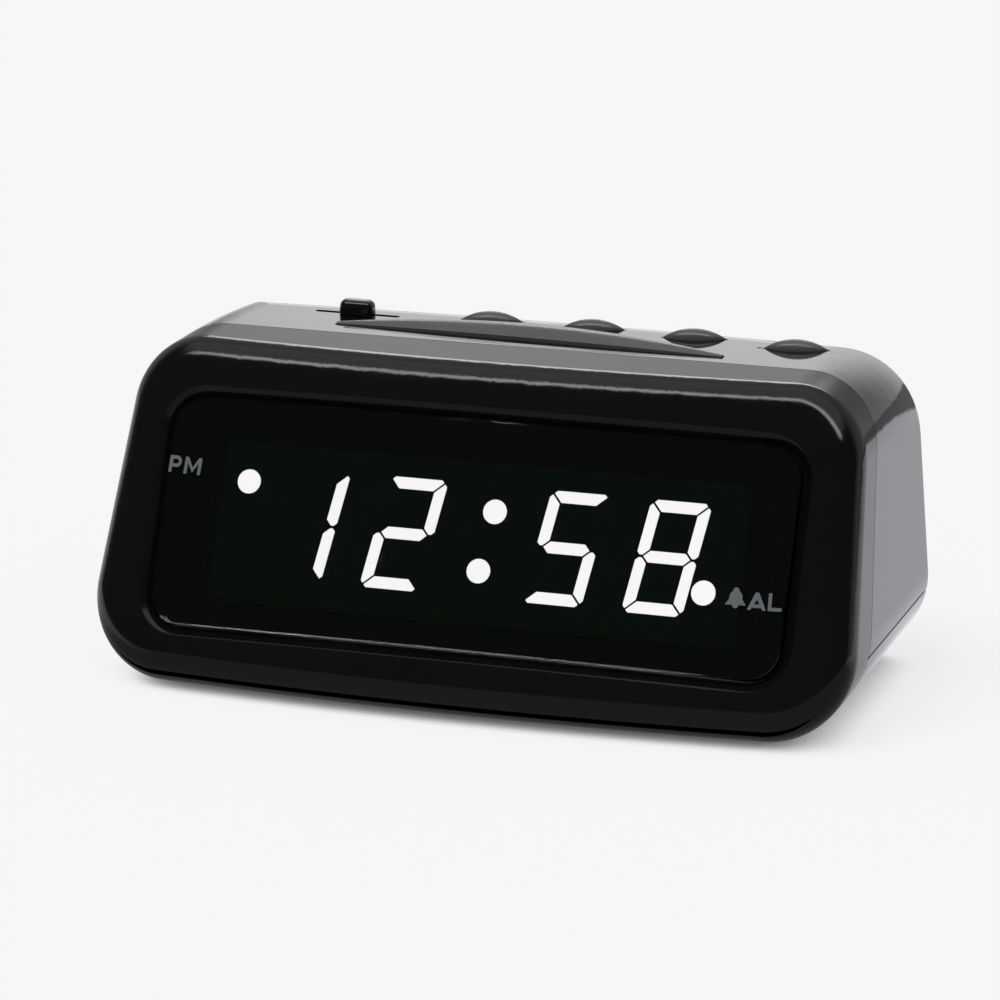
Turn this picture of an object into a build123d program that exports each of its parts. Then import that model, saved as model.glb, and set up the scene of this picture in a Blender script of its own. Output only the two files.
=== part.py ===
from build123d import *
from math import cos, degrees, radians, sin, sqrt, tan
import os

os.makedirs("parts", exist_ok=True)

# Digital desk clock in millimetres. X runs across the front, Y to the rear, Z up,
# with the origin on the table under the middle of the body.

# Body: one rounded upright section, cut by a leaning bowed front and a bowed back
depth = 69.3
top_height = 60.2
floor_gap = 0.9
foot_width = 144.9
side_draft = 4.57
low_corner = 15.0
top_corner = 13.5
rear_corner = 22.5
front_lean = 23.94
front_bow = 564.0
front_round = 6.0
rear_bow = 850.0
rear_top_round = 12.1
seam_lean = 20.14
seam_reach = 17.05
tray_seam = 13.4
seam_gap = 0.4
joint_gap = 0.2
wall = 2.2
fit_gap = 0.15
key_gap = 0.3
overrun = 5.0

# Window in the front, measured up the leaning face
lens_width = 117.6
lens_low = 15.1
lens_top_gap = 9.167
lens_corner = 6.0
lens_thickness = 2.0
lens_recess = 0.35
lens_gap = 0.45
lens_seat = 0.1
lens_edge = 0.3
ledge_width = 1.8
ledge_thickness = 1.5
frame_margin = 2.0
bevel = 1.6

# Display module: slanted seven-segment digits behind the window
display_depth = 5.0
housing_width = 96.0
housing_height = 28.2
housing_thickness = 8.0
digit_height = 20.32
digit_pitch = 18.4
colon_gap = 30.3
digits_middle = 2.5
digits_drop = 0.5
segment_width = 2.1
segment_gap = 0.35
segment_depth = 6.0
digit_slant = 8.7
segment_span = 9.0
dot_size = 4.4
colon_rise = 5.4
colon_shift = 0.37
pm_offset = 43.07
pm_rise = 6.87
alarm_offset = 43.4
alarm_rise = -5.5

# Boards
board_thickness = 1.6
board_spacing = 3.4
screw_shank = 2.6
screw_head = 5.2
screw_head_height = 1.8
screw_play = 0.1

# Top controls, placed on the flat top behind the seam
snooze_left = -36.2
snooze_right = 37.8
snooze_left_back = 5.72
snooze_right_back = 3.52
snooze_end = 1.2
snooze_bulge = 6.4
snooze_front_height = 0.6
snooze_ridge_height = 1.9
snooze_tip_height = 0.4
key_length = 11.8
key_height = 1.85
key_pitch = 19.6
key_first = -9.9
key_row_back = 17.02
key_row_bow = 361.0
key_turn = 10.0
key_travel = 0.5
knob_x = -35.25
knob_back = 14.62
slot_length = 16.5
slot_width = 1.4
knob_travel = 4.0

# Backup cells, two lying side by side across the clock
cell_diameter = 10.5
cell_length = 44.5
spring_length = 4.0
plate_thickness = 0.5
well_inset = 22.65
door_thickness = 1.4
door_play = 0.25

draft = radians(side_draft)
lean = radians(front_lean)
rear_y = depth / 2
inside_top = top_height - wall
front_edge_z = floor_gap + front_round * (1 + sin(lean))
front_foot_y = -rear_y + front_round * (1 - cos(lean)) - front_edge_z * tan(lean)
seam_tilt = radians(seam_lean)
seam_foot = rear_y - seam_reach
seam_top_y = top_height * tan(seam_tilt) - seam_foot
snooze_left_y = seam_top_y + snooze_left_back
snooze_right_y = seam_top_y + snooze_right_back
key_row_y = seam_top_y + key_row_back
knob_y = seam_top_y + knob_back
well_y = rear_y - well_inset
lens_high = top_height / cos(lean) - lens_top_gap
lens_middle = (lens_low + lens_high) / 2
digits_centre = lens_middle - digits_drop
swing_share = 1.2
corner_shares = (0.0, 0.35, 0.7, 1.0)
face_plane = Plane(origin=(0, front_foot_y, 0), x_dir=(1, 0, 0), z_dir=(0, -cos(lean), sin(lean)))
seam_plane = Plane(
    origin=(0, -seam_foot, 0), x_dir=(1, 0, 0), z_dir=(0, -cos(seam_tilt), sin(seam_tilt))
)


def save(piece, name):
    """Name a finished piece and write it."""
    piece.part.label = name
    export_step(piece.part, f"parts/{name}.step")


def half_width(z):
    """Half the body's width at a height, before its corners are rounded."""
    return foot_width / 2 - z * tan(draft)


def outline(inset, crown=top_corner):
    """Rounded upright section of the body, drawn a given depth inside its skin."""
    low = floor_gap + inset
    high = top_height - inset
    skin = inset / cos(draft)
    low_x = half_width(low) - skin
    high_x = half_width(high) - skin
    with BuildSketch() as section:
        with BuildLine():
            Polyline((-low_x, low), (low_x, low), (high_x, high), (-high_x, high), close=True)
        make_face()
        fillet(vertices().group_by(Axis.Y)[0], low_corner - inset)
        fillet(vertices().group_by(Axis.Y)[-1], crown - inset)
    return section.sketch


def front_bow_y(x):
    """How far the bowed front falls back at a distance from the middle."""
    return front_bow - sqrt(front_bow**2 - x**2)


def front_sheet_y(behind, z):
    """Place of a bowed sheet parallel to the front, on the middle line at a height."""
    return front_foot_y + z * tan(lean) + behind / cos(lean)


def front_slab(near, far):
    """Leaning slab between two bowed sheets that lie near and far behind the front."""
    low = -overrun
    reach = foot_width / 2 + overrun
    bow = front_bow_y(reach)
    near_y = front_sheet_y(near, low)
    far_y = front_sheet_y(far, low)
    rise = top_height + 2 * overrun
    with BuildPart() as slab:
        with BuildSketch(Plane.XY.offset(low)):
            with BuildLine():
                ThreePointArc((-reach, near_y + bow), (0, near_y), (reach, near_y + bow))
                Line((reach, near_y + bow), (reach, far_y + bow))
                ThreePointArc((reach, far_y + bow), (0, far_y), (-reach, far_y + bow))
                Line((-reach, far_y + bow), (-reach, near_y + bow))
            make_face()
        extrude(amount=rise / cos(lean), dir=(0, sin(lean), cos(lean)))
    return slab.part


def body_block(inset):
    """Whole body behind the window, a given depth inside its skin, open at the front."""
    swing = swing_share * foot_width / 2 / rear_bow
    near = rear_bow - depth - overrun
    run = rear_y + overrun - seam_top_y
    with BuildPart() as block:
        for share in corner_shares:
            with BuildSketch(Plane.XZ.offset(-seam_top_y - share * run)):
                add(outline(inset, top_corner + (rear_corner - top_corner) * share**2))
        loft()
        with BuildSketch(Plane.XZ.offset(-seam_top_y)):
            add(outline(inset))
        extrude(amount=rear_y + seam_top_y)
        start = Plane(
            origin=(0, rear_y - rear_bow, 0),
            x_dir=(sin(swing), cos(swing), 0),
            z_dir=(cos(swing), -sin(swing), 0),
        )
        with BuildSketch(start):
            with BuildLine():
                back = rear_bow - inset
                high = top_height - inset
                Polyline((near, -overrun), (back, -overrun), (back, high), (near, high), close=True)
            make_face()
            fillet(vertices().group_by(Axis.X)[-1].sort_by(Axis.Y)[-1], rear_top_round - inset)
        revolve(
            axis=Axis((0, rear_y - rear_bow, 0), (0, 0, 1)),
            revolution_arc=2 * degrees(swing),
            mode=Mode.INTERSECT,
        )
    return block.part


def window(margin):
    """Rounded window outline on the face plane, wider than the lens by a margin."""
    high = lens_high - lens_low + 2 * margin
    with BuildSketch() as shape:
        with Locations((0, lens_middle)):
            RectangleRounded(lens_width + 2 * margin, high, lens_corner + margin)
    return shape.sketch


body_skin = body_block(0)
body_inside = body_block(wall)


# Front bezel: the bowed ring that carries the window, with two screw tabs at its foot
boss_diameter = 6.4
board_boss_x = 61.0
board_fall = 15.4
board_rise = 18.6
board_boss_inset = 4.0
main_board_depth = display_depth + housing_thickness + board_thickness + board_spacing
board_low = digits_centre - board_fall
board_high = digits_centre + board_rise
board_middle = (board_low + board_high) / 2
board_boss_rise = board_high - board_low - 2 * board_boss_inset
pilot = screw_shank + screw_play
board_pilot_depth = 7.0
case_screw_x = 51.0
case_screw_reach = 7.1
case_screw_y = seam_foot - case_screw_reach
tab_width = 12.0
tab_low = 5.6
tab_height = 4.2
tab_inset = 9.65
tab_front = rear_y - tab_inset
tab_overhang = 4.0

pocket_depth = lens_recess + lens_thickness + lens_seat
ledge_depth = pocket_depth + ledge_thickness

with BuildPart() as pocket:
    with BuildSketch(face_plane.offset(overrun)):
        add(window(lens_gap))
    extrude(amount=-2 * overrun - ledge_depth)
    add(front_slab(-overrun, pocket_depth), mode=Mode.INTERSECT)

with BuildPart() as lens_frame:
    with BuildSketch(face_plane.offset(overrun)):
        add(window(lens_gap + frame_margin))
    extrude(amount=-2 * overrun - 2 * ledge_depth)
    add(front_slab(wall / 2, ledge_depth), mode=Mode.INTERSECT)

with BuildPart() as bezel_inside:
    with BuildSketch(Plane.XZ):
        add(outline(wall))
    extrude(amount=depth, both=True)
    add(front_slab(wall, depth), mode=Mode.INTERSECT)

tab_end = case_screw_x - tab_width / 2
tab_pitch = tab_end + foot_width / 2

with BuildPart() as tabs:
    with BuildSketch(Plane.XZ.offset(tab_front)):
        with Locations((0, tab_low + tab_height / 2)):
            with GridLocations(tab_pitch, 0, 2, 1):
                Rectangle(foot_width / 2 - tab_end, tab_height)
    extrude(amount=-(tab_front - case_screw_y + tab_overhang))
    with BuildSketch(Plane.XZ.offset(tab_front)):
        add(outline(wall + joint_gap))
    extrude(amount=-tab_front, mode=Mode.INTERSECT)

with BuildPart() as tab_roots:
    with BuildSketch(Plane.XZ.offset(tab_front)):
        with Locations((0, tab_low + tab_height / 2)):
            with GridLocations(tab_pitch, 0, 2, 1):
                Rectangle(foot_width / 2 - tab_end, tab_height)
    extrude(amount=-(tab_front - seam_foot))
    with BuildSketch(Plane.XZ.offset(tab_front)):
        add(outline(wall / 2))
    extrude(amount=-tab_front, mode=Mode.INTERSECT)
    split(bisect_by=seam_plane.offset(joint_gap), keep=Keep.TOP)

with BuildPart() as front_bezel:
    with BuildSketch(Plane.XZ):
        add(outline(0))
    extrude(amount=depth, both=True)
    add(front_slab(0, depth), mode=Mode.INTERSECT)
    fillet(faces().sort_by(Axis.Y)[0].edges(), front_round)
    add(bezel_inside.part, mode=Mode.SUBTRACT)
    split(bisect_by=seam_plane.offset(joint_gap / 2), keep=Keep.TOP)
    add(lens_frame.part)
    add(tab_roots.part)
    add(tabs.part)
    with BuildSketch(face_plane.offset(-main_board_depth)):
        with Locations((0, board_middle)):
            with GridLocations(2 * board_boss_x, board_boss_rise, 2, 2):
                Circle(boss_diameter / 2)
    extrude(amount=main_board_depth - display_depth)
    with BuildSketch(face_plane.offset(-main_board_depth)):
        with Locations((0, board_middle)):
            with GridLocations(2 * board_boss_x, board_boss_rise, 2, 2):
                Circle(pilot / 2)
    extrude(amount=board_pilot_depth, mode=Mode.SUBTRACT)
    with BuildSketch(Plane.XY.offset(tab_low)):
        with Locations((-case_screw_x, -case_screw_y), (case_screw_x, -case_screw_y)):
            Circle(pilot / 2)
    extrude(amount=tab_height, mode=Mode.SUBTRACT)
    add(pocket.part, mode=Mode.SUBTRACT)
    with BuildSketch(face_plane.offset(overrun)):
        add(window(-ledge_width))
    extrude(amount=-2 * overrun - 2 * ledge_depth, mode=Mode.SUBTRACT)
    holed = faces().filter_by(lambda face: len(face.inner_wires()) > 0)
    rim = holed.sort_by(Axis((0, 0, 0), face_plane.z_dir))[-1].inner_wires()[0]
    chamfer(rim.edges(), bevel)
save(front_bezel, "front_bezel")


# Lens: smoked window that rests on the ledge of the bezel
with BuildPart() as display_lens:
    with BuildSketch(face_plane.offset(overrun)):
        add(window(0))
    extrude(amount=-2 * overrun - ledge_depth)
    add(front_slab(lens_recess, lens_recess + lens_thickness), mode=Mode.INTERSECT)
    front_rim = faces().sort_by(Axis.Y)[0].outer_wire()
    chamfer(front_rim.edges(), lens_edge)
save(display_lens, "display_lens")


# Marks printed on the lens: afternoon and alarm words and a bell beside the alarm word
mark_thickness = 0.05
letter_height = 3.1
letter_stroke = 0.62
letter_space = 0.65
wide_letter_share = 1.08
round_letter_share = 0.78
waist_share = 0.46
pm_mark_rise = 7.5
alarm_mark_fall = 7.3
bell_fall = 7.0
pm_x = -55.2
pm_v = digits_centre + pm_mark_rise
alarm_x = 55.0
alarm_v = digits_centre - alarm_mark_fall
bell_x = 49.9
bell_v = digits_centre - bell_fall
bell_height = 3.9
bell_width = 3.7


def letter_a(left, base):
    """Capital A on its base line, from its left edge."""
    wide = wide_letter_share * letter_height
    waist = base + letter_height * waist_share / 2
    tilt = wide / 2 / letter_height
    with BuildSketch() as letter:
        with BuildLine():
            Polyline(
                (left, base),
                (left + wide / 2 - letter_stroke / 2, base + letter_height),
                (left + wide / 2 + letter_stroke / 2, base + letter_height),
                (left + wide, base),
                (left + wide - letter_stroke, base),
                (left + wide / 2, base + letter_height - letter_stroke * 2),
                (left + letter_stroke, base),
                close=True,
            )
        make_face()
        with Locations((left + wide / 2, waist)):
            Rectangle(wide - letter_stroke - letter_height * waist_share * tilt, letter_stroke)
    return letter.sketch


def letter_l(left, base):
    """Capital L on its base line, from its left edge."""
    wide = round_letter_share * letter_height
    with BuildSketch() as letter:
        with Locations((left, base)):
            Rectangle(letter_stroke, letter_height, align=Align.MIN)
            Rectangle(wide, letter_stroke, align=Align.MIN)
    return letter.sketch


def letter_p(left, base):
    """Capital P on its base line, from its left edge."""
    bowl = letter_height * (1 - waist_share / 2) / 2 - letter_stroke / 4
    centre = base + letter_height - bowl
    flat = round_letter_share * letter_height - bowl
    with BuildSketch() as letter:
        with Locations((left + flat, centre)):
            Circle(bowl)
        with Locations((left + flat / 2, centre)):
            Rectangle(flat, 2 * bowl)
        with Locations((left + flat, centre)):
            Circle(bowl - letter_stroke, mode=Mode.SUBTRACT)
        with Locations((left + flat / 2 + letter_stroke / 2, centre)):
            Rectangle(flat - letter_stroke, 2 * bowl - 2 * letter_stroke, mode=Mode.SUBTRACT)
        with Locations((left, base)):
            Rectangle(letter_stroke, letter_height, align=Align.MIN)
    return letter.sketch


def letter_m(left, base):
    """Capital M on its base line, from its left edge."""
    wide = wide_letter_share * letter_height
    middle = left + wide / 2
    foot = base + letter_stroke
    top = base + letter_height
    with BuildSketch() as letter:
        with Locations((left, base), (left + wide - letter_stroke, base)):
            Rectangle(letter_stroke, letter_height, align=Align.MIN)
        with BuildLine():
            Polyline(
                (left, top),
                (left + letter_stroke, top),
                (middle, foot + letter_stroke),
                (left + wide - letter_stroke, top),
                (left + wide, top),
                (middle, foot - letter_stroke / 2),
                close=True,
            )
        make_face()
    return letter.sketch


def bell(middle, base):
    """Small bell sign with its crown and clapper."""
    body_share = 0.2
    shoulder_share = 0.62
    crown_share = 0.3
    half = bell_width / 2
    rim_z = base + bell_height * body_share
    waist = half * shoulder_share
    shoulder = base + bell_height * shoulder_share
    top = base + bell_height * (1 - crown_share / 2)
    with BuildSketch() as sign:
        with BuildLine():
            Line((middle - half, rim_z), (middle + half, rim_z))
            Line((middle + half, rim_z), (middle + waist, shoulder - waist / 2))
            Line((middle + waist, shoulder - waist / 2), (middle + waist, shoulder))
            ThreePointArc((middle + waist, shoulder), (middle, top), (middle - waist, shoulder))
            Line((middle - waist, shoulder), (middle - waist, shoulder - waist / 2))
            Line((middle - waist, shoulder - waist / 2), (middle - half, rim_z))
        make_face()
        with Locations((middle, top)):
            Circle(half * crown_share)
        with Locations((middle, rim_z)):
            Circle(half * crown_share)
    return sign.sketch


def lens_plane(x, v):
    """Plane that touches the bowed lens at a place up its face."""
    spot = face_plane.from_local_coords(Vector(x, v, -lens_recess))
    slope = x / sqrt(front_bow**2 - x**2)
    return Plane(
        origin=spot + Vector(0, front_bow_y(x), 0),
        x_dir=(1, slope, 0),
        z_dir=(slope * cos(lean), -cos(lean), sin(lean)),
    )


with BuildPart() as lens_marks:
    word_base = -letter_height / 2
    pm_width = (wide_letter_share + round_letter_share) * letter_height + letter_space
    alarm_width = pm_width - letter_space / 2
    with BuildSketch(lens_plane(pm_x, pm_v)):
        add(letter_p(-pm_width / 2, word_base))
        add(letter_m(pm_width / 2 - wide_letter_share * letter_height, word_base))
    with BuildSketch(lens_plane(alarm_x, alarm_v)):
        add(letter_a(-alarm_width / 2, word_base))
        add(letter_l(alarm_width / 2 - round_letter_share * letter_height, word_base))
    with BuildSketch(lens_plane(bell_x, bell_v)):
        add(bell(0, -bell_height / 2))
    extrude(amount=mark_thickness)
save(lens_marks, "lens_marks")


# Display segments: seven bars a digit, mitred where they meet, and the round lamps
all_bars = "abcdefg"
lit_bars = ("bc", "abged", "afgcd", all_bars)
half_span = segment_span / 2
half_rise = (digit_height - segment_width) / 2
half_bar = segment_width / 2
mitre = segment_gap / sqrt(2)
corner_cut_share = 0.45
corner_cut = segment_width * corner_cut_share
slant = tan(radians(digit_slant))
digit_steps = (
    -colon_gap / 2 - digit_pitch,
    -colon_gap / 2,
    colon_gap / 2,
    colon_gap / 2 + digit_pitch,
)


def bar_points(bar):
    """Corners of one bar of a digit, before the digit is slanted."""
    inner_x = half_span - half_bar
    outer_x = half_span + half_bar
    inner_y = half_rise - half_bar
    outer_y = half_rise + half_bar
    top = [
        (-inner_x + mitre, inner_y),
        (-outer_x + mitre + corner_cut / 2, outer_y - corner_cut / 2),
        (-outer_x + mitre + corner_cut, outer_y),
        (outer_x - mitre - corner_cut, outer_y),
        (outer_x - mitre - corner_cut / 2, outer_y - corner_cut / 2),
        (inner_x - mitre, inner_y),
    ]
    upper_right = [
        (inner_x, inner_y - mitre),
        (outer_x - corner_cut / 2, outer_y - mitre - corner_cut / 2),
        (outer_x, outer_y - mitre - corner_cut),
        (outer_x, mitre + half_bar / 2),
        (half_span + half_bar / 2, mitre),
        (half_span, mitre),
        (inner_x, half_bar + mitre),
    ]
    middle = [
        (-half_span + mitre, 0),
        (-inner_x + mitre, half_bar),
        (inner_x - mitre, half_bar),
        (half_span - mitre, 0),
        (inner_x - mitre, -half_bar),
        (-inner_x + mitre, -half_bar),
    ]
    return {
        "a": top,
        "b": upper_right,
        "c": [(x, -y) for x, y in upper_right],
        "d": [(x, -y) for x, y in top],
        "e": [(-x, -y) for x, y in upper_right],
        "f": [(-x, y) for x, y in upper_right],
        "g": middle,
    }[bar]


def bar_sketch(digit, bar):
    """One bar in its place on the display face."""
    middle = digits_middle + digit_steps[digit]
    points = [(middle + x + y * slant, digits_centre + y) for x, y in bar_points(bar)]
    with BuildSketch() as shape:
        with BuildLine():
            Polyline(*points, close=True)
        make_face()
    return shape.sketch


def lamp_sketch():
    """Round lamps: the colon, the afternoon dot and the alarm dot."""
    colon_x = digits_middle + colon_shift
    places = [(colon_x + rise * slant, digits_centre + rise) for rise in (colon_rise, -colon_rise)]
    places += [(-pm_offset, digits_centre + pm_rise), (alarm_offset, digits_centre + alarm_rise)]
    with BuildSketch() as shape:
        with Locations(*places):
            Circle(dot_size / 2)
    return shape.sketch


display_face = face_plane.offset(-display_depth)

with BuildPart() as lit_segments:
    with BuildSketch(display_face):
        for digit, bars in enumerate(lit_bars):
            for bar in bars:
                add(bar_sketch(digit, bar))
        add(lamp_sketch())
    extrude(amount=-segment_depth)
save(lit_segments, "lit_segments")

with BuildPart() as unlit_segments:
    with BuildSketch(display_face):
        for digit, bars in enumerate(lit_bars):
            for bar in all_bars:
                if bar not in bars:
                    add(bar_sketch(digit, bar))
    extrude(amount=-segment_depth)
save(unlit_segments, "unlit_segments")


# Display housing: light-tight block whose wells hold the segments
housing_corner = 1.0

with BuildPart() as display_housing:
    with BuildSketch(display_face):
        with Locations((0, digits_centre)):
            RectangleRounded(housing_width, housing_height, housing_corner)
    extrude(amount=-housing_thickness)
    with BuildSketch(display_face):
        for digit in range(len(lit_bars)):
            for bar in all_bars:
                add(bar_sketch(digit, bar))
        add(lamp_sketch())
    extrude(amount=-housing_thickness, mode=Mode.SUBTRACT)
save(display_housing, "display_housing")


# Light chips: one die on the display board behind each bar and each lamp
chip_size = 1.0
chip_height = 0.6
board_face = face_plane.offset(-display_depth - housing_thickness)

with BuildPart() as light_chips:
    with BuildSketch(board_face):
        for digit in range(len(lit_bars)):
            for bar in all_bars:
                spot = bar_sketch(digit, bar).face().center()
                with Locations((spot.X, spot.Y)):
                    Rectangle(chip_size, chip_size)
        for lamp in lamp_sketch().faces():
            with Locations((lamp.center().X, lamp.center().Y)):
                Rectangle(chip_size, chip_size)
    extrude(amount=chip_height)
save(light_chips, "light_chips")

with BuildPart() as display_board:
    with BuildSketch(board_face):
        with Locations((0, digits_centre)):
            Rectangle(housing_width, housing_height)
    extrude(amount=-board_thickness)
save(display_board, "display_board")


# Display pins: two rows that carry the display board on the main board
pin_size = 0.64
pin_pitch = 2.54
pin_count = 14
pin_inset = 1.6
pin_face = board_face.offset(-board_thickness)

with BuildPart() as display_pins:
    with BuildSketch(pin_face):
        with Locations((0, digits_centre)):
            with GridLocations(pin_pitch, housing_height - 2 * pin_inset, pin_count, 2):
                Rectangle(pin_size, pin_size)
    extrude(amount=-board_spacing)
save(display_pins, "display_pins")


# Main board: stands behind the display on four bosses of the bezel
board_margin = 2.6
main_face = face_plane.offset(-main_board_depth)
main_rear = main_face.offset(-board_thickness)
screw_hole = screw_shank + 2 * fit_gap

with BuildPart() as main_board:
    with BuildSketch(main_face):
        with Locations((0, board_middle)):
            Rectangle(2 * (board_boss_x + board_margin), board_high - board_low)
            with GridLocations(2 * board_boss_x, board_boss_rise, 2, 2):
                Circle(screw_hole / 2, mode=Mode.SUBTRACT)
    extrude(amount=-board_thickness)
save(main_board, "main_board")

board_screw_length = 6.0

with BuildPart() as main_board_screws:
    with BuildSketch(main_rear):
        with Locations((0, board_middle)):
            with GridLocations(2 * board_boss_x, board_boss_rise, 2, 2):
                Circle(screw_shank / 2)
    extrude(amount=board_thickness + board_screw_length)
    with BuildSketch(main_rear):
        with Locations((0, board_middle)):
            with GridLocations(2 * board_boss_x, board_boss_rise, 2, 2):
                Circle(screw_head / 2)
    extrude(amount=-screw_head_height)
save(main_board_screws, "main_board_screws")


# Parts on the rear of the main board
chip_length = 18.0
chip_body_width = 7.5
chip_body_height = 2.3
lead_span = 10.3
lead_width = 0.45
lead_pitch = 1.27
lead_count = 14
lead_lift = 0.1
chip_x = -18.0
driver_x = -42.0
chip_rise = 1.0
chip_v = board_middle + chip_rise
capacitor_diameter = 8.0
capacitor_length = 11.5
capacitor_x = 14.0
capacitor_rise = 3.0
capacitor_v = board_middle + capacitor_rise
capacitor_groove = 0.4
groove_share = 0.15
crystal_diameter = 3.0
crystal_length = 8.0
crystal_x = -2.0
crystal_fall = 1.0
crystal_v = board_middle - crystal_fall

for name, x in (("clock_chip", chip_x), ("driver_chip", driver_x)):
    with BuildPart() as chip:
        with BuildSketch(main_rear.offset(-lead_lift)):
            with Locations((x, chip_v)):
                Rectangle(chip_length, chip_body_width)
        extrude(amount=-chip_body_height)
        with BuildSketch(main_rear):
            with Locations((x, chip_v)):
                with GridLocations(lead_pitch, 0, lead_count, 1):
                    Rectangle(lead_width, lead_span)
        extrude(amount=-lead_width)
    save(chip, name)

with BuildPart() as smoothing_capacitor:
    with BuildSketch(main_rear):
        with Locations((capacitor_x, capacitor_v)):
            Circle(capacitor_diameter / 2)
    extrude(amount=-capacitor_length)
    with BuildSketch(main_rear.offset(-capacitor_length * groove_share)):
        with Locations((capacitor_x, capacitor_v)):
            Circle(capacitor_diameter / 2)
            Circle(capacitor_diameter / 2 - capacitor_groove, mode=Mode.SUBTRACT)
    extrude(amount=-capacitor_groove, mode=Mode.SUBTRACT)
save(smoothing_capacitor, "smoothing_capacitor")

with BuildPart() as timing_crystal:
    with BuildSketch(main_rear):
        with Locations((crystal_x, crystal_v)):
            Rectangle(crystal_diameter, crystal_length)
    extrude(amount=-crystal_diameter)
    fillet(edges().filter_by(Axis((0, 0, 0), main_rear.y_dir)), crystal_diameter / 3)
save(timing_crystal, "timing_crystal")


# Top controls: their plan outlines, shared by the pieces and by the holes in the case
key_names = ("time_key", "alarm_key", "hour_key", "minute_key")
key_row = [key_first + index * key_pitch for index in range(len(key_names))]
key_places = [(x, key_row_y - x**2 / (2 * key_row_bow)) for x in key_row]
snooze_middle = (snooze_left + snooze_right) / 2
snooze_flange = 0.6
key_flange = 0.6
flange_thickness = 1.2
flange_gap = 0.8


def snooze_front(x):
    """Front edge of the snooze bar in plan."""
    share = (x - snooze_left) / (snooze_right - snooze_left)
    return snooze_left_y + share * (snooze_right_y - snooze_left_y)


def snooze_crown(x):
    """Fall from 1 at the middle of the bar to 0 at its ends."""
    half = (snooze_right - snooze_left) / 2
    return 1 - ((x - snooze_middle) / half) ** 2


def snooze_outline(margin):
    """Plan of the snooze bar: straight front edge and bulging rear edge."""
    ends = (snooze_left, snooze_right)
    rear = [(x, snooze_front(x) + snooze_end) for x in ends]
    crest = (snooze_middle, snooze_front(snooze_middle) + snooze_end + snooze_bulge)
    with BuildSketch() as shape:
        with BuildLine():
            Line((ends[0], snooze_front(ends[0])), (ends[1], snooze_front(ends[1])))
            Line((ends[1], snooze_front(ends[1])), rear[1])
            ThreePointArc(rear[1], crest, rear[0])
            Line(rear[0], (ends[0], snooze_front(ends[0])))
        make_face()
        if margin:
            offset(amount=margin, kind=Kind.INTERSECTION)
    return shape.sketch


def key_outline(margin):
    """Plan of a press key: a leaf between two arcs."""
    with BuildSketch() as shape:
        with BuildLine():
            ThreePointArc((-key_length / 2, 0), (0, key_height), (key_length / 2, 0))
            ThreePointArc((key_length / 2, 0), (0, -key_height), (-key_length / 2, 0))
        make_face()
        if margin:
            offset(amount=margin, kind=Kind.ARC)
    return shape.sketch


# Top case: the shell behind the bezel, with the holes for the controls
lip_height = 2.5
lip_thickness = 1.2
reset_hole = 0.8
reset_x = 42.3
reset_back = 12.72
reset_y = seam_top_y + reset_back
post_diameter = 6.0
key_board_drop = 10.6
key_board_top = top_height - key_board_drop
key_board_back = 1.52
key_board_front = seam_top_y + key_board_back
key_screw_inset = 4.0
key_screw_spread = 15.3
key_screw_near = key_board_front + key_screw_inset
key_screw_far = key_screw_near + key_screw_spread
key_screw_places = (
    (-44.5, key_screw_near),
    (-24.0, key_screw_far),
    (19.5, key_screw_far),
    (50.0, key_screw_near),
)
key_pilot_depth = 6.0
case_screw_rear_x = 59.0
case_screw_rear_inset = 13.65
case_screw_rear_y = rear_y - case_screw_rear_inset
case_post_diameter = 7.0
case_pilot_depth = 10.0
jack_x = 42.0
jack_z = 24.0
jack_width = 9.0
jack_height = 11.0
jack_length = 13.0
jack_bore = 5.6
jack_bore_length = 9.0
jack_nose = 8.0
jack_pin = 2.0
jack_base = 1.5
rib_thickness = 1.6
jack_side = jack_x + jack_width / 2
rear_wall_y = rear_y - (rear_bow - sqrt(rear_bow**2 - jack_side**2)) - wall


def lip_ring(inset):
    """Ring along the body that starts a given depth inside its skin and ends at the lip's inner face."""
    with BuildPart() as ring:
        with BuildSketch(Plane.XZ.offset(seam_foot)):
            add(outline(inset))
            add(outline(wall + fit_gap + lip_thickness), mode=Mode.SUBTRACT)
        extrude(amount=-depth)
    return ring.part


with BuildPart() as case_lip:
    add(lip_ring(wall + fit_gap))
    split(bisect_by=seam_plane.offset(lip_height), keep=Keep.BOTTOM)
    split(bisect_by=seam_plane.offset(-lip_height), keep=Keep.TOP)
    split(bisect_by=Plane.XY.offset(tray_seam + 2 * lip_height), keep=Keep.TOP)

with BuildPart() as case_lip_root:
    add(lip_ring(wall / 2))
    split(bisect_by=seam_plane.offset(-joint_gap), keep=Keep.BOTTOM)
    split(bisect_by=seam_plane.offset(-lip_height), keep=Keep.TOP)
    split(bisect_by=Plane.XY.offset(tray_seam + 2 * lip_height), keep=Keep.TOP)

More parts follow.
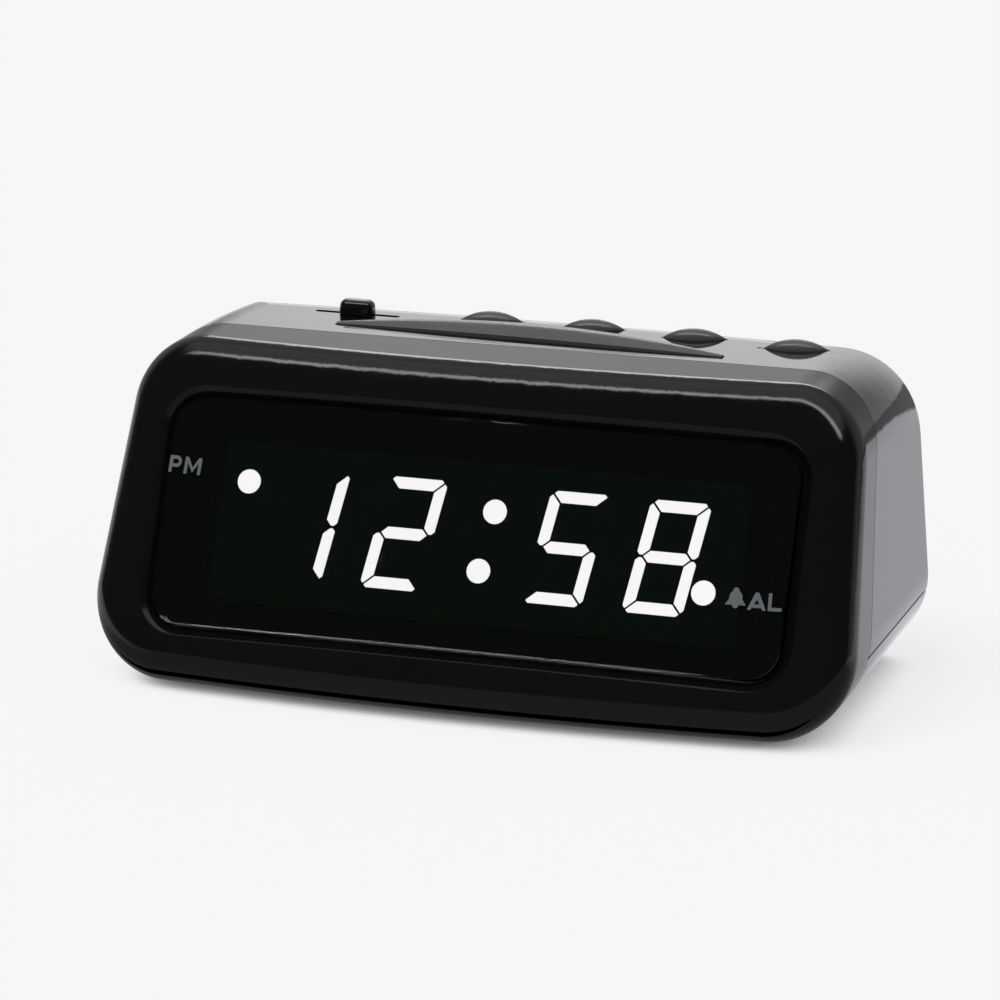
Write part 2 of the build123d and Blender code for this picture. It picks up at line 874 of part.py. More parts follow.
with BuildPart() as case_posts:
    with BuildSketch(Plane.XY.offset(key_board_top)):
        with Locations(*key_screw_places):
            Circle(post_diameter / 2)
    extrude(amount=top_height - key_board_top)
    with BuildSketch(Plane.XY.offset(tab_low)):
        with Locations((-case_screw_rear_x, case_screw_rear_y), (case_screw_rear_x, case_screw_rear_y)):
            Circle(case_post_diameter / 2)
    extrude(amount=top_height - tab_low)
    with BuildSketch(Plane.XY.offset(jack_z - jack_height / 2 - fit_gap)):
        with Locations((jack_x, rear_wall_y + wall / 2 - jack_length / 2)):
            Rectangle(jack_width + 2 * fit_gap + 2 * rib_thickness, jack_length + wall)
    extrude(amount=-rib_thickness)
    for side in (-1, 1):
        rib_x = jack_x + side * (jack_width / 2 + fit_gap + rib_thickness / 2)
        with BuildSketch(Plane.XY.offset(jack_z - jack_height / 2 - fit_gap)):
            with Locations((rib_x, rear_wall_y + wall / 2 - jack_length / 2)):
                Rectangle(rib_thickness, jack_length + wall)
        extrude(amount=jack_height)
    add(body_block(wall / 2), mode=Mode.INTERSECT)

with BuildPart() as top_case:
    add(body_skin)
    add(body_inside, mode=Mode.SUBTRACT)
    split(bisect_by=seam_plane.offset(-joint_gap / 2), keep=Keep.BOTTOM)
    split(bisect_by=Plane.XY.offset(tray_seam + seam_gap / 2), keep=Keep.TOP)
    add(case_lip.part)
    add(case_lip_root.part)
    add(case_posts.part)
    with BuildSketch(Plane.XY.offset(inside_top - wall)):
        add(snooze_outline(key_gap))
        for place in key_places:
            with Locations(Location(place, key_turn)):
                add(key_outline(key_gap))
        with Locations((knob_x, knob_y)):
            SlotOverall(slot_length, slot_width)
        with Locations((reset_x, reset_y)):
            Circle(reset_hole / 2)
    extrude(amount=2 * wall + overrun, mode=Mode.SUBTRACT)
    with BuildSketch(Plane.XY.offset(key_board_top)):
        with Locations(*key_screw_places):
            Circle(pilot / 2)
    extrude(amount=key_pilot_depth, mode=Mode.SUBTRACT)
    with BuildSketch(Plane.XY.offset(tab_low)):
        with Locations((-case_screw_rear_x, case_screw_rear_y), (case_screw_rear_x, case_screw_rear_y)):
            Circle(pilot / 2)
    extrude(amount=case_pilot_depth, mode=Mode.SUBTRACT)
    with BuildSketch(Plane.XZ.offset(-rear_y - overrun)):
        with Locations((jack_x, jack_z)):
            Circle(jack_nose / 2 + fit_gap)
    extrude(amount=2 * overrun + wall, mode=Mode.SUBTRACT)
save(top_case, "top_case")


# Base tray: the floor, with the well for the backup cells, the door track and the screw wells
well_length = cell_length + spring_length + 2 * plate_thickness + 2 * fit_gap
well_width = 2 * cell_diameter + 4 * fit_gap
track_top = floor_gap + door_thickness + door_play
well_top = track_top + cell_diameter + 2 * fit_gap
tongue = 1.6
tongue_thickness = 0.7
door_margin = 1.2
door_width = well_length + 2 * door_margin
door_front = well_y - well_width / 2 - door_margin
roof = 1.2
tray_floor = floor_gap + wall
screw_well = 6.2
screw_well_depth = 2.7
tray_boss = 9.0
foot_diameter = 9.0
foot_recess = 1.0
foot_front_inset = 25.15
foot_rear_inset = 9.65
foot_front_y = foot_front_inset - rear_y
foot_rear_y = rear_y - foot_rear_inset
foot_places = (
    (-39.0, foot_front_y),
    (39.0, foot_front_y),
    (-44.0, foot_rear_y),
    (44.0, foot_rear_y),
)
sounder_diameter = 20.0
sounder_thickness = 3.5
sounder_x = -46.0
sounder_y = 7.0
sounder_rib = 1.2
sound_hole = 1.5
sound_ring = 4.5
sound_ring_count = 6
case_screw_places = (
    (-case_screw_x, -case_screw_y),
    (case_screw_x, -case_screw_y),
    (-case_screw_rear_x, case_screw_rear_y),
    (case_screw_rear_x, case_screw_rear_y),
)

with BuildPart() as tray_lip:
    add(lip_ring(wall + fit_gap))
    split(bisect_by=seam_plane.offset(-2 * lip_height), keep=Keep.BOTTOM)
    split(bisect_by=Plane.XY.offset(tray_seam - lip_height), keep=Keep.TOP)
    split(bisect_by=Plane.XY.offset(tray_seam + lip_height), keep=Keep.BOTTOM)
    add(body_block(wall + fit_gap), mode=Mode.INTERSECT)

with BuildPart() as tray_lip_root:
    add(lip_ring(wall / 2))
    split(bisect_by=seam_plane.offset(-2 * lip_height), keep=Keep.BOTTOM)
    split(bisect_by=Plane.XY.offset(tray_seam - lip_height), keep=Keep.TOP)
    split(bisect_by=Plane.XY.offset(tray_seam - seam_gap), keep=Keep.BOTTOM)
    add(body_block(wall / 2), mode=Mode.INTERSECT)

with BuildPart() as tray_inner:
    with BuildSketch(Plane.XY.offset(floor_gap)):
        with Locations((0, well_y)):
            Rectangle(well_length + 2 * roof, well_width + 2 * roof)
    extrude(amount=well_top + roof - floor_gap)
    with BuildSketch(Plane.XY.offset(floor_gap)):
        with Locations((0, (door_front - roof + rear_y) / 2)):
            Rectangle(door_width + 2 * tongue + 4 * roof, rear_y - door_front + roof)
    extrude(amount=track_top + roof - floor_gap)
    with BuildSketch(Plane.XY.offset(floor_gap)):
        with Locations(*case_screw_places):
            Circle(tray_boss / 2)
    extrude(amount=tab_low - fit_gap - floor_gap)
    with BuildSketch(Plane.XY.offset(floor_gap)):
        with Locations((sounder_x, sounder_y)):
            Circle(sounder_diameter / 2 + fit_gap + sounder_rib)
            Circle(sounder_diameter / 2 + fit_gap, mode=Mode.SUBTRACT)
    extrude(amount=wall + sounder_thickness)
    add(body_block(wall / 2), mode=Mode.INTERSECT)

with BuildPart() as base_tray:
    add(body_skin)
    add(body_inside, mode=Mode.SUBTRACT)
    split(bisect_by=seam_plane.offset(-joint_gap / 2), keep=Keep.BOTTOM)
    split(bisect_by=Plane.XY.offset(tray_seam - seam_gap / 2), keep=Keep.BOTTOM)
    add(tray_lip.part)
    add(tray_lip_root.part)
    add(tray_inner.part)
    with BuildSketch(Plane.XY.offset(-overrun)):
        with Locations((0, well_y)):
            Rectangle(well_length, well_width)
    extrude(amount=well_top + overrun, mode=Mode.SUBTRACT)
    track_middle = (door_front - door_play + rear_y + overrun) / 2
    track_length = rear_y + overrun - door_front + door_play
    with BuildSketch(Plane.XY.offset(-overrun)):
        with Locations((0, track_middle)):
            Rectangle(door_width + 2 * door_play, track_length)
    extrude(amount=track_top + overrun, mode=Mode.SUBTRACT)
    with BuildSketch(Plane.XY.offset(track_top)):
        with Locations((0, track_middle)):
            Rectangle(door_width + 2 * tongue + 2 * door_play, track_length)
    extrude(amount=-(tongue_thickness + 2 * door_play), mode=Mode.SUBTRACT)
    with BuildSketch(Plane.XY.offset(-overrun)):
        with Locations(*case_screw_places):
            Circle(screw_well / 2)
    extrude(amount=overrun + floor_gap + screw_well_depth, mode=Mode.SUBTRACT)
    with BuildSketch(Plane.XY):
        with Locations(*case_screw_places):
            Circle(screw_hole / 2)
    extrude(amount=tab_low, mode=Mode.SUBTRACT)
    with BuildSketch(Plane.XY.offset(-overrun)):
        with Locations(*foot_places):
            Circle(foot_diameter / 2 + fit_gap)
    extrude(amount=overrun + floor_gap + foot_recess, mode=Mode.SUBTRACT)
    with BuildSketch(Plane.XY):
        with Locations((sounder_x, sounder_y)):
            Circle(sound_hole / 2)
            with PolarLocations(sound_ring, sound_ring_count):
                Circle(sound_hole / 2)
    extrude(amount=tray_floor + wall, mode=Mode.SUBTRACT)
save(base_tray, "base_tray")


# Snooze bar: crescent blade that stands proud of the top, on a flange that keeps it in
flange_top = inside_top - flange_gap
plunger_height = 1.6
switch_size = 6.0
switch_height = 3.4
pusher_diameter = 3.2
pusher_gap = 0.05
pusher_end = key_board_top + switch_height + plunger_height + pusher_gap
section_shares = (-1.05, -0.9, -0.7, -0.35, 0.0, 0.35, 0.7, 0.9, 1.05)
ridge_share = 0.68
snooze_rear_height = 0.15
dome_margin = 1.0
snooze_half = (snooze_right - snooze_left) / 2
snooze_y = snooze_front(snooze_middle) + (snooze_end + snooze_bulge) / 2
rear_radius = (snooze_half**2 + snooze_bulge**2) / (2 * snooze_bulge)


def snooze_rear(x):
    """Rear edge of the snooze bar in plan, on the same arc as its outline."""
    fall = rear_radius - sqrt(rear_radius**2 - (x - snooze_middle) ** 2)
    return snooze_front(x) + snooze_end + snooze_bulge - fall


with BuildPart() as snooze_dome:
    for share in section_shares:
        x = snooze_middle + share * snooze_half
        front = snooze_front(x)
        rear = snooze_rear(x)
        crown = snooze_crown(x)
        front_z = top_height + snooze_tip_height / 2 + crown * (snooze_front_height - snooze_tip_height / 2)
        ridge_z = top_height + snooze_tip_height + crown * (snooze_ridge_height - snooze_tip_height)
        rear_z = top_height + snooze_rear_height
        ridge = front + ridge_share * (rear - front)
        low_front = (front - dome_margin, front_z - dome_margin / 2)
        low_rear = (rear + dome_margin, rear_z - dome_margin / 2)
        with BuildSketch(Plane.YZ.offset(x)):
            with BuildLine():
                Spline(low_front, (front, front_z), (ridge, ridge_z), (rear, rear_z), low_rear)
                Polyline(low_rear, (low_rear[0], pusher_end), (low_front[0], pusher_end), low_front)
            make_face()
    loft()

with BuildPart() as snooze_bar:
    with BuildSketch(Plane.XY.offset(flange_top)):
        add(snooze_outline(0))
    extrude(amount=wall + flange_gap + 2 * snooze_ridge_height)
    add(snooze_dome.part, mode=Mode.INTERSECT)
    with BuildSketch(Plane.XY.offset(flange_top)):
        add(snooze_outline(key_gap + snooze_flange))
    extrude(amount=-flange_thickness)
    with BuildSketch(Plane.XY.offset(pusher_end)):
        with Locations((snooze_middle, snooze_y)):
            Circle(pusher_diameter / 2)
    extrude(amount=flange_top - pusher_end)
save(snooze_bar, "snooze_bar")


# Press keys: pointed round-backed buttons, half sunk in leaf-shaped holes
for name, place in zip(key_names, key_places):
    key_plane = Plane(
        origin=(place[0], place[1], top_height),
        x_dir=(cos(radians(key_turn)), sin(radians(key_turn)), 0),
    )
    with BuildPart() as key:
        with BuildSketch(key_plane):
            with BuildLine():
                ThreePointArc((-key_length / 2, 0), (0, key_height), (key_length / 2, 0))
                Line((key_length / 2, 0), (-key_length / 2, 0))
            make_face()
        revolve(axis=Axis(key_plane.origin, key_plane.x_dir), revolution_arc=180)
        with BuildSketch(key_plane):
            add(key_outline(0))
        extrude(amount=flange_top - top_height)
        with BuildSketch(key_plane.offset(flange_top - top_height)):
            add(key_outline(key_gap + key_flange))
        extrude(amount=-flange_thickness)
        with BuildSketch(key_plane.offset(pusher_end - top_height)):
            Circle(pusher_diameter / 2)
        extrude(amount=flange_top - pusher_end)
    save(key, name)


# Alarm knob: small drafted block over a thin neck that runs in the slot
knob_length = 6.7
knob_width = 3.8
knob_height = 2.6
knob_lift = 0.15
knob_taper = 4.0
knob_corner = 1.6
knob_round = 1.3
neck_length = 5.5
neck_thickness = 0.9
shoe_length = 8.0
shoe_width = 5.0
shoe_height = 2.2
peg_size = 1.8
peg_fit = 0.1
slide_height = 4.4
slide_width = 6.0
slide_wall = 2.0
peg_play = 0.3
peg_overlap = 1.6
slide_floor = 1.2
shoe_low = flange_top - shoe_height
peg_top = shoe_low + peg_overlap
slide_length = 2 * knob_travel + peg_size + 2 * peg_play + 2 * slide_wall

with BuildPart() as alarm_knob:
    with BuildSketch(Plane.XY.offset(top_height + knob_lift)):
        with Locations((knob_x, knob_y)):
            RectangleRounded(knob_length, knob_width, knob_corner)
    extrude(amount=knob_height, taper=knob_taper)
    fillet(faces().sort_by(Axis.Z)[-1].edges(), knob_round)
    with BuildSketch(Plane.XY.offset(flange_top)):
        with Locations((knob_x, knob_y)):
            Rectangle(neck_length, neck_thickness)
    extrude(amount=top_height + knob_lift - flange_top)
    with BuildSketch(Plane.XY.offset(flange_top)):
        with Locations((knob_x, knob_y)):
            Rectangle(shoe_length, shoe_width)
    extrude(amount=-shoe_height)
    with BuildSketch(Plane.XY.offset(shoe_low)):
        with Locations((knob_x, knob_y)):
            Rectangle(peg_size + 2 * peg_fit, peg_size + 2 * peg_fit)
    extrude(amount=peg_overlap + peg_fit, mode=Mode.SUBTRACT)
save(alarm_knob, "alarm_knob")

with BuildPart() as slide_switch:
    with BuildSketch(Plane.XY.offset(key_board_top)):
        with Locations((knob_x, knob_y)):
            Rectangle(slide_length, slide_width)
    extrude(amount=slide_height)
    with BuildSketch(Plane.XY.offset(key_board_top + slide_floor)):
        with Locations((knob_x, knob_y)):
            Rectangle(slide_length - 2 * slide_wall, peg_size + 2 * peg_play)
    extrude(amount=slide_height, mode=Mode.SUBTRACT)
save(slide_switch, "slide_switch")

with BuildPart() as slide_switch_peg:
    with BuildSketch(Plane.XY.offset(key_board_top + slide_floor + peg_play)):
        with Locations((knob_x, knob_y)):
            Rectangle(peg_size, peg_size)
    extrude(amount=peg_top - key_board_top - slide_floor - peg_play)
save(slide_switch_peg, "slide_switch_peg")


# Key board: hangs under the top from four posts and carries the switches
key_board_left = -49.0
key_board_right = 54.8
key_board_width = 22.6
key_board_rear = key_board_front + key_board_width
key_board_low = key_board_top - board_thickness

with BuildPart() as key_board:
    with BuildSketch(Plane.XY.offset(key_board_top)):
        with Locations(((key_board_left + key_board_right) / 2, (key_board_front + key_board_rear) / 2)):
            Rectangle(key_board_right - key_board_left, key_board_rear - key_board_front)
        with Locations(*key_screw_places):
            Circle(screw_hole / 2, mode=Mode.SUBTRACT)
    extrude(amount=-board_thickness)
save(key_board, "key_board")

with BuildPart() as key_board_screws:
    with BuildSketch(Plane.XY.offset(key_board_low)):
        with Locations(*key_screw_places):
            Circle(screw_shank / 2)
    extrude(amount=board_thickness + key_pilot_depth - screw_play)
    with BuildSketch(Plane.XY.offset(key_board_low)):
        with Locations(*key_screw_places):
            Circle(screw_head / 2)
    extrude(amount=-screw_head_height)
save(key_board_screws, "key_board_screws")

switch_places = {"snooze": (snooze_middle, snooze_y)}
switch_places.update({name.replace("_key", ""): place for name, place in zip(key_names, key_places)})
plunger_diameter = 3.4
plunger_fit = 0.1
plunger_seat = 1.4

for name, place in switch_places.items():
    with BuildPart() as switch:
        with BuildSketch(Plane.XY.offset(key_board_top)):
            with Locations(place):
                Rectangle(switch_size, switch_size)
        extrude(amount=switch_height)
        with BuildSketch(Plane.XY.offset(key_board_top + switch_height)):
            with Locations(place):
                Circle(plunger_diameter / 2 + plunger_fit)
        extrude(amount=-(plunger_seat + 2 * key_travel), mode=Mode.SUBTRACT)
    save(switch, f"{name}_switch")
    with BuildPart() as plunger:
        with BuildSketch(Plane.XY.offset(key_board_top + switch_height - plunger_seat)):
            with Locations(place):
                Circle(plunger_diameter / 2)
        extrude(amount=plunger_seat + plunger_height)
    save(plunger, f"{name}_plunger")


# Flat cable between the key board and the main board, with a plug at each end
cable_x = 6.0
cable_width = 16.0
cable_thickness = 0.8
plug_length = 18.0
plug_height = 3.0
plug_width = 4.0
plug_inset = 4.0
plug_v = board_high - plug_inset
cable_reach = 8.84
cable_bend = 3.5
low_plug = main_rear.offset(-plug_height).from_local_coords(Vector(0, plug_v, 0))
plug_y = low_plug.Y + cable_reach

with BuildPart() as cable_plugs:
    with BuildSketch(Plane.XY.offset(key_board_low)):
        with Locations((cable_x, plug_y)):
            Rectangle(plug_length, plug_width)
    extrude(amount=-plug_height)
    with BuildSketch(main_rear):
        with Locations((cable_x, plug_v)):
            Rectangle(plug_length, plug_width)
    extrude(amount=-plug_height)
save(cable_plugs, "cable_plugs")

low_turn_z = low_plug.Z - cable_reach * tan(lean)
high_plug = (plug_y, key_board_low - plug_height)

with BuildPart() as flat_cable:
    with BuildLine(Plane.YZ.offset(cable_x)) as cable_path:
        FilletPolyline(
            (low_plug.Y, low_plug.Z),
            (plug_y, low_turn_z),
            high_plug,
            radius=cable_bend,
        )
    with BuildSketch(Plane(origin=cable_path.line @ 0, x_dir=(1, 0, 0), z_dir=cable_path.line % 0)):
        Rectangle(cable_width, cable_thickness)
    sweep()
save(flat_cable, "flat_cable")


# Backup cells and their contacts in the well
cell_rim = 0.6
cell_nub = 3.8
cell_nub_height = 0.9
cell_y = (well_y - cell_diameter / 2 - fit_gap, well_y + cell_diameter / 2 + fit_gap)
cell_z = track_top + cell_diameter / 2 + fit_gap
plate_height = 8.0
plate_width = 8.0
spring_diameter = 6.0
plate_x = well_length / 2 - fit_gap - plate_thickness
contact_gap = 0.05

for name, y, side in (("backup_cell_front", cell_y[0], 1), ("backup_cell_rear", cell_y[1], -1)):
    nub_end = side * (plate_x - contact_gap)
    can_end = nub_end - side * cell_nub_height
    with BuildPart() as cell:
        with BuildSketch(Plane.YZ.offset(can_end)):
            with Locations((y, cell_z)):
                Circle(cell_diameter / 2)
        extrude(amount=-side * (cell_length - cell_nub_height))
        fillet(edges().filter_by(GeomType.CIRCLE), cell_rim)
        with BuildSketch(Plane.YZ.offset(can_end)):
            with Locations((y, cell_z)):
                Circle(cell_nub / 2)
        extrude(amount=side * cell_nub_height)
    save(cell, name)

with BuildPart() as contact_plates:
    for x in (-plate_x - plate_thickness, plate_x):
        with BuildSketch(Plane.YZ.offset(x)):
            with Locations((cell_y[0], cell_z), (cell_y[1], cell_z)):
                Rectangle(plate_width, plate_height)
        extrude(amount=plate_thickness)
save(contact_plates, "contact_plates")

spring_run = 2 * plate_x - cell_length - 2 * contact_gap
with BuildPart() as cell_springs:
    for y, side in ((cell_y[0], -1), (cell_y[1], 1)):
        with BuildSketch(Plane.YZ.offset(side * plate_x)):
            with Locations((y, cell_z)):
                Circle(spring_diameter / 2)
        extrude(amount=-side * spring_run)
save(cell_springs, "cell_springs")


# Battery door: flat plate that slides rearwards in the track under the tray
grip_count = 4
grip_pitch = 2.2
grip_width = 0.9
grip_depth = 0.4
grip_length = 22.0
grip_inset = 6.65
grip_y = rear_y - grip_inset

with BuildPart() as battery_door:
    with BuildSketch(Plane.XY.offset(floor_gap)):
        with Locations((0, (door_front + rear_y) / 2)):
            Rectangle(door_width, rear_y - door_front)
    extrude(amount=door_thickness)
    with BuildSketch(Plane.XY.offset(floor_gap + door_thickness)):
        with Locations((0, (door_front + rear_y) / 2)):
            Rectangle(door_width + 2 * tongue, rear_y - door_front)
    extrude(amount=-tongue_thickness)
    add(body_skin, mode=Mode.INTERSECT)
    with BuildSketch(Plane.XY.offset(floor_gap)):
        with Locations((0, grip_y)):
            with GridLocations(0, grip_pitch, 1, grip_count):
                Rectangle(grip_length, grip_width)
    extrude(amount=grip_depth, mode=Mode.SUBTRACT)
save(battery_door, "battery_door")


# Power inlet at the rear: socket body with an open bore and a centre pin
jack_front_y = rear_wall_y - fit_gap
jack_mouth_y = jack_front_y + wall

with BuildPart() as power_inlet:
    with BuildSketch(Plane.XZ.offset(-jack_front_y)):
        with Locations((jack_x, jack_z)):
            Rectangle(jack_width, jack_height)
    extrude(amount=jack_length)
    with BuildSketch(Plane.XZ.offset(-jack_front_y)):
        with Locations((jack_x, jack_z)):
            Circle(jack_nose / 2)
    extrude(amount=-wall)
    with BuildSketch(Plane.XZ.offset(-jack_mouth_y)):
        with Locations((jack_x, jack_z)):
            Circle(jack_bore / 2)
    extrude(amount=jack_bore_length, mode=Mode.SUBTRACT)
save(power_inlet, "power_inlet")

with BuildPart() as inlet_pin:
    with BuildSketch(Plane.XZ.offset(-(jack_mouth_y - jack_bore_length))):
        with Locations((jack_x, jack_z)):
            Circle(jack_pin / 2)
    extrude(amount=-(jack_bore_length - jack_base))
    fillet(faces().sort_by(Axis.Y)[-1].edges(), jack_pin / 4)
save(inlet_pin, "inlet_pin")

lead_diameter = 1.4
lead_gap = 3.4

with BuildPart() as power_leads:
    with BuildSketch(Plane.XZ.offset(-(jack_front_y - jack_length))):
        with Locations((jack_x, jack_z)):
            with GridLocations(lead_gap, 0, 2, 1):
                Circle(lead_diameter / 2)
    extrude(amount=2 * depth)
    split(bisect_by=main_rear, keep=Keep.BOTTOM)
save(power_leads, "power_leads")


# Sounder disc in its ring on the tray, case screws and rubber feet
with BuildPart() as sounder:
    with BuildSketch(Plane.XY.offset(tray_floor)):
        with Locations((sounder_x, sounder_y)):
            Circle(sounder_diameter / 2)
    extrude(amount=sounder_thickness)
    fillet(faces().sort_by(Axis.Z)[-1].edges(), cell_rim)
save(sounder, "sounder")

case_screw_length = tab_low + case_pilot_depth - floor_gap - screw_well_depth - screw_play

with BuildPart() as case_screws:
    screw_seat = floor_gap + screw_well_depth
    with BuildSketch(Plane.XY.offset(screw_seat)):
        with Locations(*case_screw_places):
            Circle(screw_head / 2)
    extrude(amount=-screw_head_height)
    with BuildSketch(Plane.XY.offset(screw_seat)):
        with Locations(*case_screw_places[:2]):
            Circle(screw_shank / 2)
    extrude(amount=tab_low + tab_height - screw_seat)
    with BuildSketch(Plane.XY.offset(screw_seat)):
        with Locations(*case_screw_places[2:]):
            Circle(screw_shank / 2)
    extrude(amount=case_screw_length)
save(case_screws, "case_screws")

foot_round = 0.4

with BuildPart() as rubber_feet:
    with BuildSketch(Plane.XY):
        with Locations(*foot_places):
            Circle(foot_diameter / 2)
    extrude(amount=floor_gap + foot_recess)
    fillet(edges().group_by(Axis.Z)[0], foot_round)
save(rubber_feet, "rubber_feet")
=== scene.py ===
from math import pi, radians

import bmesh
import bpy
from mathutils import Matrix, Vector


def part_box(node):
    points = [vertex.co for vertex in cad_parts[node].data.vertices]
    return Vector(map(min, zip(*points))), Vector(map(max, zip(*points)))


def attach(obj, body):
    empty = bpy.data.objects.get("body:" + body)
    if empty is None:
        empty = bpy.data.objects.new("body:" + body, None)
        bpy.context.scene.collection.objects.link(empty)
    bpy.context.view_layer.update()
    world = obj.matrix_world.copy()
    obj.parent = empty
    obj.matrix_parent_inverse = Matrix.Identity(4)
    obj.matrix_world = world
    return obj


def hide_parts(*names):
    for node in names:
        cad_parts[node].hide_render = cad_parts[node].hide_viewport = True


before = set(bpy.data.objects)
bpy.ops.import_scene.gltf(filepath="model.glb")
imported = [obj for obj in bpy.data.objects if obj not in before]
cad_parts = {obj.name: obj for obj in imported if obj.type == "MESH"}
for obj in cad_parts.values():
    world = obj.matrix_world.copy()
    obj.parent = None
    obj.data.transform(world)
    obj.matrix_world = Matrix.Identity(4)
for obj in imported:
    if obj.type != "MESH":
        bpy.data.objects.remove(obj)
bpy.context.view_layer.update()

# Camera: a long lens a little above the clock and to its right, fitted to the printed
# marks, the digits and the outline of the body.
camera_place = (0.26032, -0.79543, 0.27115)
camera_azimuth = radians(18.20)
camera_elevation = radians(15.91)
camera_data = bpy.data.cameras.new("camera")
camera_data.lens = 173.0
camera_data.sensor_width = 36.0
camera = bpy.data.objects.new("camera", camera_data)
camera.location = camera_place
camera.rotation_euler = (pi / 2 - camera_elevation, 0, camera_azimuth)
bpy.context.scene.collection.objects.link(camera)
bpy.context.scene.camera = camera
bpy.context.scene.view_settings.view_transform = "Standard"


# Table: one pale sheet far larger than the view, see-through from below. It keeps a little of
# the lamp's real shadow, and over it the camera sees a painted contact shadow, deepest where
# the feet lift the body just clear of it and deeper to the right of the clock. In polished
# plastic it shows a painted reflection, dim grey with bright patches behind the clock and to
# the left.
def new_tree(material):
    """Empty node tree of a material, with its output node."""
    material.use_nodes = True
    material.node_tree.nodes.clear()
    return material.node_tree, material.node_tree.nodes.new("ShaderNodeOutputMaterial")


def split_place(tree, coordinates="Object"):
    """Node that splits a point's place, or a ray's heading, into its X, Y and Z."""
    place = tree.nodes.new("ShaderNodeTexCoord")
    parts = tree.nodes.new("ShaderNodeSeparateXYZ")
    tree.links.new(place.outputs[coordinates], parts.inputs["Vector"])
    return parts


def fade(tree, parts, axis, start, end):
    """Share that rises smoothly from 0 to 1 as one coordinate goes from start to end."""
    node = tree.nodes.new("ShaderNodeMapRange")
    node.interpolation_type = "SMOOTHSTEP"
    node.inputs["From Min"].default_value = start
    node.inputs["From Max"].default_value = end
    tree.links.new(parts.outputs[axis], node.inputs["Value"])
    return node.outputs["Result"]


def overlap(tree, *shares):
    """Product of several shares."""
    product = shares[0]
    for share in shares[1:]:
        node = tree.nodes.new("ShaderNodeMath")
        node.operation = "MULTIPLY"
        tree.links.new(product, node.inputs[0])
        tree.links.new(share, node.inputs[1])
        product = node.outputs["Value"]
    return product


def patched(tree, parts, base, patches):
    """Base colour with glowing patches laid over it, each shown where all its edges fade in."""
    below = None
    for glow, edges in patches:
        layer = tree.nodes.new("ShaderNodeMix")
        layer.data_type = "RGBA"
        layer.inputs["A"].default_value = (*base, 1)
        layer.inputs["B"].default_value = (*glow, 1)
        if below is not None:
            tree.links.new(below, layer.inputs["A"])
        share = overlap(tree, *(fade(tree, parts, *edge) for edge in edges))
        tree.links.new(share, layer.inputs["Factor"])
        below = layer.outputs["Result"]
    return below


def mixed(tree, share, first, second):
    """Shader that goes over from the first to the second where the share is 1."""
    node = tree.nodes.new("ShaderNodeMixShader")
    tree.links.new(share, node.inputs["Fac"])
    tree.links.new(first, node.inputs[1])
    tree.links.new(second, node.inputs[2])
    return node.outputs["Shader"]


table_half = 4.0
table_tone = (0.835, 0.835, 0.835)
table_build = bmesh.new()
bmesh.ops.create_grid(table_build, x_segments=1, y_segments=1, size=table_half)
table_mesh = bpy.data.meshes.new("table")
table_build.to_mesh(table_mesh)
table_build.free()
table = bpy.data.objects.new("table", table_mesh)
bpy.context.scene.collection.objects.link(table)

# Painted contact shadow: for the camera the sheet glows in a tone that darkens to a dark
# brownish grey where the body hems it in.
contact_reach = 0.010
painted_shadow_tone = (0.055, 0.048, 0.046)
open_tone = (0.922, 0.922, 0.922)
contact_share = 0.86
full_contact = 0.02
# The painted shadow is deeper and wider to the right of the clock than in front of it.
open_in_front = 0.33
open_at_right = 0.54
front_ends_x = 0.056
right_starts_x = 0.068
# Painted reflection: for glossy rays alone the sheet glows dim grey, with bright patches behind
# the clock and to the left.
painted_reflection_tone = (0.22, 0.22, 0.225)
lit_left = ((0.70, 0.70, 0.705), (("X", -0.08, -0.13), ("Y", -0.16, -0.06)))
lit_behind = ((0.90, 0.895, 0.95), (("Y", -0.02, 0.05), ("Y", 0.50, 0.38), ("X", 0.0, 0.06)))
table_finish = bpy.data.materials.new("table_finish")
tree, output = new_tree(table_finish)
across = split_place(tree)
sheet = tree.nodes.new("ShaderNodeBsdfDiffuse")
sheet.inputs["Color"].default_value = (*table_tone, 1)
closeness = tree.nodes.new("ShaderNodeAmbientOcclusion")
closeness.samples = 12
closeness.inputs["Distance"].default_value = contact_reach
fully_open = tree.nodes.new("ShaderNodeMapRange")
fully_open.inputs["From Min"].default_value = front_ends_x
fully_open.inputs["From Max"].default_value = right_starts_x
fully_open.inputs["To Min"].default_value = open_in_front
fully_open.inputs["To Max"].default_value = open_at_right
tree.links.new(across.outputs["X"], fully_open.inputs["Value"])
clearness = tree.nodes.new("ShaderNodeMapRange")
clearness.inputs["From Min"].default_value = full_contact
tree.links.new(fully_open.outputs["Result"], clearness.inputs["From Max"])
tree.links.new(closeness.outputs["AO"], clearness.inputs["Value"])
contact = tree.nodes.new("ShaderNodeMix")
contact.data_type = "RGBA"
contact.inputs["A"].default_value = (*painted_shadow_tone, 1)
contact.inputs["B"].default_value = (*open_tone, 1)
tree.links.new(clearness.outputs["Result"], contact.inputs["Factor"])
painted_shadow_glow = tree.nodes.new("ShaderNodeEmission")
tree.links.new(contact.outputs["Result"], painted_shadow_glow.inputs["Color"])
seen = tree.nodes.new("ShaderNodeMixShader")
seen.inputs["Fac"].default_value = contact_share
tree.links.new(sheet.outputs["BSDF"], seen.inputs[1])
tree.links.new(painted_shadow_glow.outputs["Emission"], seen.inputs[2])
painted_reflection_glow = tree.nodes.new("ShaderNodeEmission")
painted_reflection = patched(tree, across, painted_reflection_tone, (lit_left, lit_behind))
tree.links.new(painted_reflection, painted_reflection_glow.inputs["Color"])
rays = tree.nodes.new("ShaderNodeLightPath")
side = tree.nodes.new("ShaderNodeNewGeometry")
see_through = tree.nodes.new("ShaderNodeBsdfTransparent")
shown = sheet.outputs["BSDF"]
